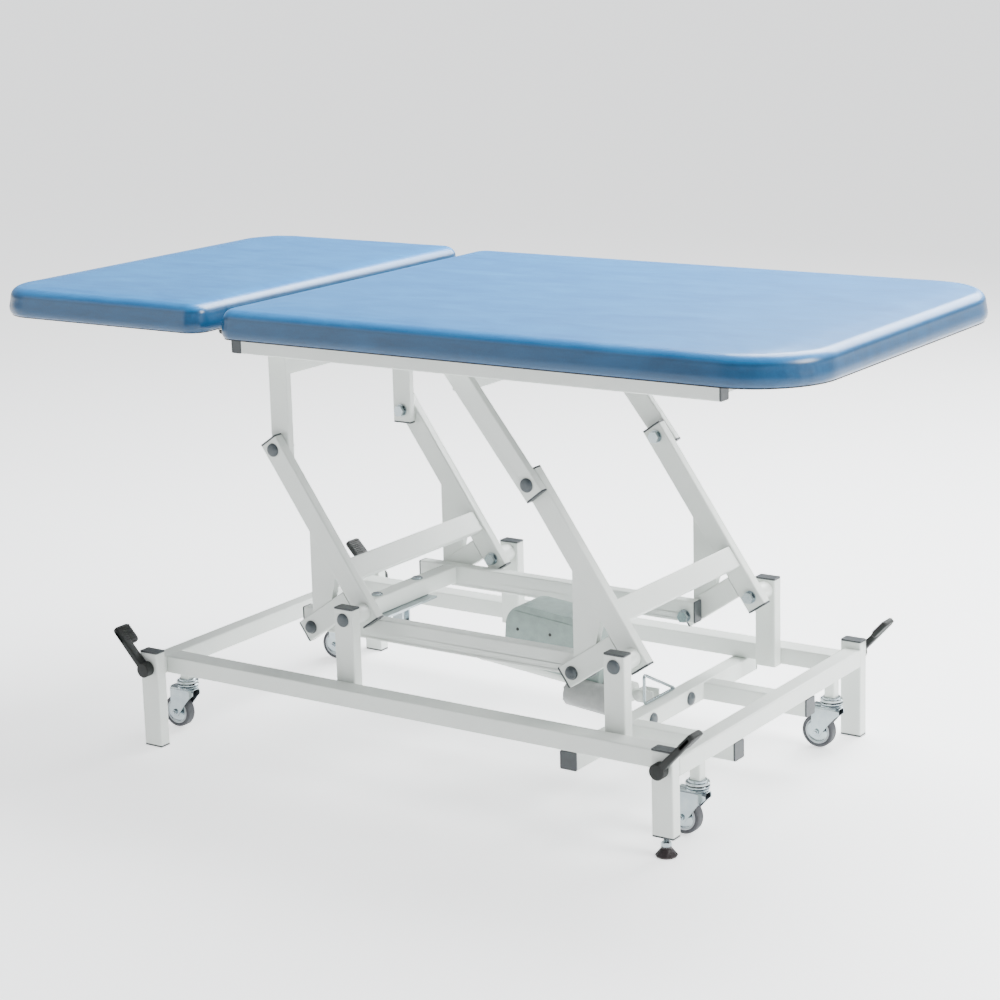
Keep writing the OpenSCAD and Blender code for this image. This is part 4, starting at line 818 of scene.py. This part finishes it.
def fork_shell(sx, sy, ax, az, z_top):
    """A pressed fork about the axle at (ax, az) under the swivel at (sx, sy): a sheet bent over the
    wheel at z_top, each leg ending at z(x), a circle round the axle joined by a straight slanting front."""
    inner, r_bend, eye = settings("table_castors").fork_inside, 0.0065, 0.0120
    leave = math.radians(50)
    x1, z1 = ax + eye * math.cos(leave), az - eye * math.sin(leave)
    x_front = sx + 0.0235
    x = np.concatenate([ax - eye * np.cos(np.linspace(0, math.pi - leave, 22)), np.linspace(x1, x_front, 14)[1:]])
    low_z = np.where(x <= x1 + 1e-6, az - np.sqrt(np.maximum(eye ** 2 - (x - ax) ** 2, 0)), 0)
    f = (x - x1) / (x_front - x1)
    low_z = np.where(x > x1, z1 + (z_top - 0.012 - z1) * np.clip(f, 0, 1) ** 0.94, low_z)
    narrow = 0.003 * np.clip((x - x_front + 0.016) / 0.016, 0, 1) ** 2
    bend = np.radians(np.linspace(0, 90, 7))
    rows = []
    for xi, zl, dn in zip(x, low_z, narrow):
        leg = [(inner, zl + (z_top - r_bend - zl) * k) for k in np.linspace(0, 1, 7)]
        turn = [(inner - r_bend + r_bend * math.cos(b), z_top - r_bend + r_bend * math.sin(b)) for b in bend[1:]]
        half = leg + turn + [(0.004, z_top)]
        prof = half + [(-a, b) for a, b in reversed(half)]
        rows.append([(xi, a * (1 - dn / inner), b - dn) for a, b in prof])
    return Shell().grid(place(np.array(rows), (0, sy, 0)))


def hexagon(across, length, ease=0.0006):
    """A hexagon head along Y from 0 to length, its outer rim chamfered on a circle."""
    t = np.radians(np.arange(0, 360, 10))
    hexr = across / 2 / np.cos(((t + math.pi / 6) % (math.pi / 3)) - math.pi / 6)
    circle = across / 2 * 1.02
    rows = []
    for y, limit in ((0, 9), (length - ease, 9), (length, circle), (length, 0.0)):
        rr = np.minimum(hexr, limit)
        rows.append(np.stack([rr * np.cos(t), np.full_like(t, y), rr * np.sin(t)], -1))
    return np.stack(rows)


def swivel_shell(sx, sy, z0, stem_z):
    """The swivel head: a cup, the ball race and a cap, turned from one profile about the stem."""
    cup = [(0.0, z0 + 0.0005), (0.0232, z0 + 0.0005), (0.0246, z0 + 0.0020), (0.0240, z0 + 0.0046),
           (0.0205, z0 + 0.0062)]
    race = [(0.0205, z0 + 0.0062), (0.0226, z0 + 0.0074), (0.0252, z0 + 0.0082), (0.0258, z0 + 0.0100),
            (0.0244, z0 + 0.0116), (0.0200, z0 + 0.0124), (0.0, z0 + 0.0124)]
    pin = [(0.0, z0 + 0.011), (0.00595, z0 + 0.011), (0.00595, stem_z + 0.024), (0.0048, stem_z + 0.0255),
           (0.0, stem_z + 0.0255)]
    shell = Shell()
    for profile, sides in ((cup, 56), (race, 56), (pin, 32)):
        shell.grid(place(revolve(profile, sides, "z"), (sx, sy, 0)), wrap_v=True)
    return shell


def plate_shell(sx, sy, z):
    """The plated disc and collar under a stem, turned from one profile."""
    profile = [(0.0, z - 0.0003), (0.0242, z - 0.0003), (0.0253, z + 0.0007), (0.0253, z + 0.0033),
               (0.0240, z + 0.0045), (0.0202, z + 0.0051), (0.0197, z + 0.0082), (0.0187, z + 0.0093),
               (0.0, z + 0.0093)]
    return Shell().grid(place(revolve(profile, 56, "z"), (sx, sy, 0)), wrap_v=True)


class TABLE_OT_castors(bpy.types.Operator):
    """Makes the four castors: tyre, ring, disc, pressed fork, swivel head and axle bolt"""
    bl_idname, bl_label = "table.castors", "Castors"

    def execute(self, context):
        c = settings("table_castors")
        wheel_finishes = [FINISHES["tyre"], FINISHES["ring"], FINISHES["zinc"]]
        for tag in ("ln", "lf", "rn", "rf"):
            wheel, fork = "wheel_" + tag, "fork_" + tag
            centre = (low(wheel) + high(wheel)) / 2
            slo, shi = low("stem_" + tag), high("stem_" + tag)
            sx, sy = (slo[0] + shi[0]) / 2, (slo[1] + shi[1]) / 2
            made = wheel_shell(centre).make("castor_wheel_" + tag, wheel_finishes, wheel)
            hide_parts(wheel)
            race_z = slo[2] - 0.0003 - 0.014
            body = fork_shell(sx, sy, centre[0], centre[2], race_z)
            sheet = body.make("castor_fork_" + tag, [FINISHES["zinc"]], fork)
            thick = sheet.modifiers.new("sheet", "SOLIDIFY")
            thick.thickness, thick.offset = c.fork_sheet, 1.0
            rims = sheet.modifiers.new("ease", "BEVEL")
            rims.width, rims.segments, rims.limit_method = 0.0005, 2, "ANGLE"
            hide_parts(fork)
            head = swivel_shell(sx, sy, race_z, slo[2] + 0.004)
            out = c.fork_inside + c.fork_sheet
            for s in (1, -1):
                bolt = hexagon(0.0125, 0.0045) * [1, s, 1]
                head.grid(place(bolt, (centre[0], centre[1] + s * out, centre[2])), wrap_v=True)
            end = out + 0.0070
            axle = [(0.0, -end), (0.0034, -end), (0.00395, 0.0005 - end),
                    (0.00395, end - 0.0005), (0.0034, end), (0.0, end)]
            head.grid(place(revolve(axle, 24), centre), wrap_v=True)
            head.make("castor_head_" + tag, [FINISHES["zinc"]], fork)
            plate = plate_shell(sx, sy, slo[2])
            plate.make("castor_plate_" + tag, [FINISHES["zinc"]], "stem_" + tag, smooth=30)
        return {"FINISHED"}


# Pedals

def pedal_shell(hub, s, e, deg, ribs):
    """A moulded pedal: a lever whose rounded end turns on the shaft, widening into a ribbed tread.
    X runs out along the lever, Z off its upper face and Y across, s the side and e the end."""
    hub_r, hub_w, reach, tread_l, tread_w, thick = 0.017, 0.022, 0.112, 0.042, 0.046, 0.013
    ex, ez = turned(deg)
    axes = dict(x=(e * ex[0], 0, ex[2]), y=(0, s, 0), z=(e * ez[0], 0, ez[2]), move=hub)
    shell = Shell()
    profile = [(0.0, -hub_w / 2), (hub_r - 0.0015, -hub_w / 2), (hub_r, -hub_w / 2 + 0.0015),
               (hub_r, hub_w / 2 - 0.0015), (hub_r - 0.0015, hub_w / 2), (hub_r - 0.004, hub_w / 2 + 0.0004),
               (0.0, hub_w / 2 + 0.0004)]
    shell.grid(place(revolve(profile, 48), **axes), wrap_v=True)
    bar = eased_block(hub_w, thick, reach - 0.002, r=0.0035, edge=0.002)[..., [2, 0, 1]]
    taper = np.clip(bar[..., 0] / (reach - tread_l), 0, 1)
    bar[..., 2] *= 1.25 - 0.25 * taper
    shell.grid(place(bar, **axes), wrap_v=True, ends=(True, True))
    plate = eased_block(tread_l + 0.006, tread_w, thick * 0.86, r=0.008, edge=0.0022)
    plate = plate + [reach - (tread_l + 0.006) / 2 + 0.0065, hub_w / 2 - tread_w / 2, -thick * 0.43]
    shell.grid(place(plate, **axes), wrap_v=True, ends=(True, True))
    for i in range(ribs):
        rib = eased_block(tread_l / ribs * 0.5, tread_w - 0.004, 0.0034, r=0.0008, edge=0.0008)
        at = reach - tread_l + 0.0075 + (i + 0.5) * (tread_l - 0.004) / ribs
        rib = rib + [at, hub_w / 2 - tread_w / 2, thick * 0.43 - 0.0012]
        shell.grid(place(rib, **axes), wrap_v=True, ends=(True, True))
    return shell


class TABLE_OT_pedals(bpy.types.Operator):
    """Makes the four dark pedals with ribbed treads"""
    bl_idname, bl_label = "table.pedals", "Pedals"

    def execute(self, context):
        c = settings("table_castors")
        out = high("corner_posts")[1] + 0.0003 + 0.011
        for side, e, body in (("left", -1, "left_pedal_set"), ("right", 1, "right_pedal_set")):
            hub = joint_at(side + "_pedal_press")
            shell = Shell()
            for s in (-1, 1):
                one = pedal_shell((hub[0], s * out, hub[2]), s, e, c.pedal_lean, c.ribs)
                shell.add(np.concatenate(one.points), one.faces)
            made = shell.make("pedals_" + side, [FINISHES["pedal"]], body)
            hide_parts(side + "_pedals")
        return {"FINISHED"}


# Bolt caps and small fittings

def cap_rows(r, h, skirt):
    """Profile of a push-on bolt cap about Y: a skirt with a small rolled rim, then a dome whose radius is
    r cos^0.75 t and whose height is skirt + (h - skirt) sin t."""
    t = np.radians(np.linspace(0, 90, 14))
    dome = np.stack([r * 0.97 * np.cos(t) ** 0.75, skirt + (h - skirt) * np.sin(t)], -1)
    rim = [(r - 0.0004, 0.0), (r, 0.0004), (r, skirt - 0.0007), (r * 0.985, skirt - 0.0001)]
    return np.concatenate([[(0.0, 0.0)], rim, dome])


class TABLE_OT_caps(bpy.types.Operator):
    """Makes the rounded caps on the outer ends of the pivot bolts"""
    bl_idname, bl_label = "table.caps", "Bolt caps"

    def execute(self, context):
        f = settings("table_frame")
        r, h = f.cap_radius, f.cap_height
        right, top, short = joint_at("lift"), joint_at("top_turn"), joint_at("coupler_turn")
        span = right - joint_at("left_crank_turn")
        post, arm, hanger = high("pivot_posts")[1], high("left_arms")[1], high("right_bolts")[1]
        groups = (("base", "base", [(right, post, r, h), (right - span, post, r, h)]),
                  ("left", "left_crank", [(top - span, arm, r, h), (short - span, arm, r * 0.9, f.button_height)]),
                  ("right", "right_crank", [(top, hanger, r, h), (short, arm, r * 0.9, f.button_height)]))
        for name, body, places in groups:
            shell = Shell()
            for at, y, radius, height in places:
                rows = revolve(cap_rows(radius, height, height * 0.3 if height < radius else height * 0.75), 56)
                for s in (1, -1):
                    shell.grid(place(rows * [1, s, 1], (at[0], s * y, at[2])), wrap_v=True)
            if name == "base":
                face = low("low_tubes")[0] + (high("side_rails")[2] - low("side_rails")[2])
                z = (low("low_tubes")[2] + high("low_tubes")[2]) / 2
                for s in (1, -1):
                    rows = revolve(cap_rows(r, h, h * 0.3), 56, "x")
                    shell.grid(place(rows, (face, s * f.mid_cap, z)), wrap_v=True)
            caps = shell.make("bolt_caps_" + name, [FINISHES["domes"]], body, smooth=50)
            if name == "base":
                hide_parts("base_domes")
        return {"FINISHED"}


def helix_rod(r, z0, z1, pitch, depth):
    """A threaded rod about Z: radius r - depth * (triangle wave of z / pitch + turn)."""
    turns = int((z1 - z0) / pitch * 8)
    z = np.linspace(z0, z1, turns)[:, None]
    t = np.linspace(0, 2 * math.pi, 24, endpoint=False)[None, :]
    wave = np.abs(((z / pitch + t / (2 * math.pi)) % 1.0) * 2 - 1)
    rr = r - depth * wave
    return np.stack([rr * np.cos(t), rr * np.sin(t), z + 0 * t], -1)


class TABLE_OT_foot(bpy.types.Operator):
    """Makes the levelling foot: pad, cone, threaded screw and locking nut"""
    bl_idname, bl_label = "table.foot", "Levelling foot"

    def execute(self, context):
        lo, hi = low("levelling_foot"), high("levelling_foot")
        x, y = (lo[:2] + hi[:2]) / 2
        c = settings("table_castors")
        r, h, screw = (hi[0] - lo[0]) / 2, c.foot_height, c.foot_screw
        profile = [(0.0, 0.0), (r - 0.0015, 0.0), (r, 0.0016), (r, 0.0040), (r - 0.0018, 0.0060),
                   (r * 0.52, h - 0.0042), (r * 0.46, h - 0.0030), (r * 0.46, h - 0.0006), (r * 0.42, h), (0.0, h)]
        cone_sides = 12
        shell = Shell().grid(place(revolve(profile, cone_sides, "z"), (x, y, 0)), wrap_v=True)
        shell.grid(place(helix_rod(screw, h - 0.001, hi[2], 0.00175, 0.0008), (x, y, 0)), wrap_v=True,
                   ends=(True, True), slot=1)
        nut = hexagon(screw * 3.1, 0.0085)[..., [0, 2, 1]]
        shell.grid(place(nut, (x, y, h + 0.0004)), wrap_v=True, slot=1)
        foot = shell.make("foot", [FINISHES["foot"], FINISHES["zinc"]], "levelling_foot", smooth=22)
        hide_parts("levelling_foot")
        return {"FINISHED"}


class TABLE_OT_drive(bpy.types.Operator):
    """Makes the black screws in both sides of the drive's housing"""
    bl_idname, bl_label = "table.drive", "Drive screws"

    def execute(self, context):
        eye = joint_at("actuator_swing")
        ahead = np.array(next(j["axis"] for j in frame["joints"] if j["name"] == "actuator_stroke"), float)
        up = np.array([ahead[2], 0, -ahead[0]])
        side, tall = high("actuator_housing")[1], high("actuator_housing")[2] - eye[2]
        profile = [(0.0, 0.0004), (0.0016, 0.0004), (0.0020, 0.0012), (0.0030, 0.0013), (0.0036, 0.0007),
                   (0.0038, -0.0006), (0.0, -0.0006)]
        rows = revolve(profile, 24)
        upper, lower = 0.52, 0.16
        shell = Shell()
        for out, share in ((0.105, upper), (0.215, upper + 0.04), (0.300, upper), (0.120, lower), (0.270, lower)):
            at = eye + ahead * out + up * tall * share
            for s in (1, -1):
                shell.grid(place(rows * [1, s, 1], (at[0], s * side, at[2])), wrap_v=True)
        screws = shell.make("drive_screws", [FINISHES["black"]], "actuator", smooth=40)
        return {"FINISHED"}


class TABLE_OT_stirrup(bpy.types.Operator):
    """Makes the bent wire stirrup on the low cross tube"""
    bl_idname, bl_label = "table.stirrup", "Wire stirrup"

    def execute(self, context):
        lo, hi = low("wire_stirrup"), high("wire_stirrup")
        r = (hi[0] - lo[0]) / 2
        x = lo[0] + r
        corners = [(lo[1] + r, lo[2] + r), (lo[1] + r, hi[2] - r), (hi[1] - r, lo[2] + r)]
        path, bend = [], 0.009
        for k in range(3):
            b, a, c = (np.array(corners[(k + i) % 3]) for i in (0, -1, 1))
            ua, uc = (a - b) / np.linalg.norm(a - b), (c - b) / np.linalg.norm(c - b)
            start, stop = b + ua * bend, b + uc * bend
            for s in np.linspace(0, 1, 9):
                path.append((1 - s) ** 2 * start + 2 * s * (1 - s) * b + s ** 2 * stop)
        path = np.array([(x, q[0], q[1]) for q in path])
        wire = Shell().grid(sweep(path, r, 14, closed=True), wrap_u=True, wrap_v=True)
        made = wire.make("wire_loop", [FINISHES["zinc"]], "base", smooth=60)
        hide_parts("wire_stirrup")
        return {"FINISHED"}


# Stage

class TABLE_OT_stage(bpy.types.Operator):
    """Makes the pale floor, the studio lights and the camera at the photograph's viewing angle"""
    bl_idname, bl_label = "table.stage", "Stage"

    def execute(self, context):
        scene = context.scene
        v = settings("table_stage")
        mesh = bpy.data.meshes.new("floor")
        r = 100.0
        mesh.from_pydata([(-r, -r, 0), (r, -r, 0), (r, r, 0), (-r, r, 0)], [], [(0, 1, 2, 3)])
        mesh.materials.append(floor_paint((0.86, 0.87, 0.88), v.glow))
        floor = bpy.data.objects.new("floor", mesh)
        scene.collection.objects.link(floor)
        world = bpy.data.worlds.new("studio")
        world.use_nodes = True
        world.node_tree.nodes["Background"].inputs[0].default_value = (0.93, 0.965, 1.0, 1)
        world.node_tree.nodes["Background"].inputs[1].default_value = v.room
        scene.world = world
        lights = (("key", (4.8, 0.2, 3.2), (0.4, 0, 0.7), 2.0, 330, (1.0, 1.0, 0.99)),
                  ("top", (0.4, 1.8, 3.9), (0, 0, 0.9), 2.6, 430, (0.97, 0.985, 1.0)),
                  ("back", (1.2, 4.8, 3.7), (0.4, 0, 1.0), 3.0, 420, (0.98, 0.99, 1.0)),
                  ("front", (-4.0, -4.6, 2.6), (0, 0, 0.4), 3.6, 70, (1.0, 0.99, 0.95)))
        for name, at, aim, size, power, colour in lights:
            light = bpy.data.lights.new(name, "AREA")
            light.shape, light.size, light.energy, light.color = "SQUARE", size, power, colour
            lamp = bpy.data.objects.new(name, light)
            lamp.location = at
            lamp.rotation_euler = (Vector(aim) - Vector(at)).to_track_quat("-Z", "Y").to_euler()
            scene.collection.objects.link(lamp)
        az, el, roll = (math.radians(a) for a in (v.azimuth, v.elevation, v.roll))
        back = Vector((math.sin(az) * math.cos(el), -math.cos(az) * math.cos(el), math.sin(el)))
        right = Vector((math.cos(az), math.sin(az), 0))
        up = back.cross(right)
        across = right * math.cos(roll) + up * math.sin(roll)
        upwards = up * math.cos(roll) - right * math.sin(roll)
        data = bpy.data.cameras.new("camera")
        data.lens, data.sensor_width = v.lens, 36.0
        data.shift_x, data.shift_y = v.shift_x, v.shift_y
        data.clip_end = 100
        camera = bpy.data.objects.new("camera", data)
        camera.matrix_world = Matrix((*(
            (across[i], upwards[i], back[i], v.stand[i]) for i in range(3)), (0, 0, 0, 1)))
        scene.collection.objects.link(camera)
        scene.camera = camera
        return {"FINISHED"}


class TABLE_PT_looks(bpy.types.Panel):
    """Lists the steps that dress the table"""
    bl_label, bl_idname = "Treatment table", "TABLE_PT_looks"
    bl_space_type, bl_region_type, bl_category = "VIEW_3D", "UI", "Table"

    def draw(self, context):
        for operator in OPERATORS:
            self.layout.operator(operator.bl_idname)
        for name, group in GROUPS:
            box = self.layout.box()
            for key in group.__annotations__:
                box.prop(getattr(context.scene, name), key)


GROUPS = (("table_pads", PadSettings), ("table_frame", FrameSettings), ("table_castors", CastorSettings),
          ("table_drive", DriveSettings), ("table_stage", StageSettings))
OPERATORS = (TABLE_OT_finishes, TABLE_OT_pads, TABLE_OT_castors, TABLE_OT_pedals, TABLE_OT_caps,
             TABLE_OT_foot, TABLE_OT_drive, TABLE_OT_stirrup, TABLE_OT_stage)


def register():
    """Registers the settings, the operators and the panel."""
    for name, group in GROUPS:
        bpy.utils.register_class(group)
        setattr(bpy.types.Scene, name, PointerProperty(type=group))
    for cls in (*OPERATORS, TABLE_PT_looks):
        bpy.utils.register_class(cls)


def unregister():
    """Undoes register."""
    for cls in (TABLE_PT_looks, *reversed(OPERATORS)):
        bpy.utils.unregister_class(cls)
    for name, group in reversed(GROUPS):
        delattr(bpy.types.Scene, name)
        bpy.utils.unregister_class(group)


def main():
    """Runs every step in order."""
    register()
    bpy.ops.table.finishes()
    bpy.ops.table.pads()
    bpy.ops.table.castors()
    bpy.ops.table.pedals()
    bpy.ops.table.caps()
    bpy.ops.table.foot()
    bpy.ops.table.drive()
    bpy.ops.table.stirrup()
    bpy.ops.table.stage()
    bpy.context.view_layer.update()


if __name__ == "__main__":
    main()
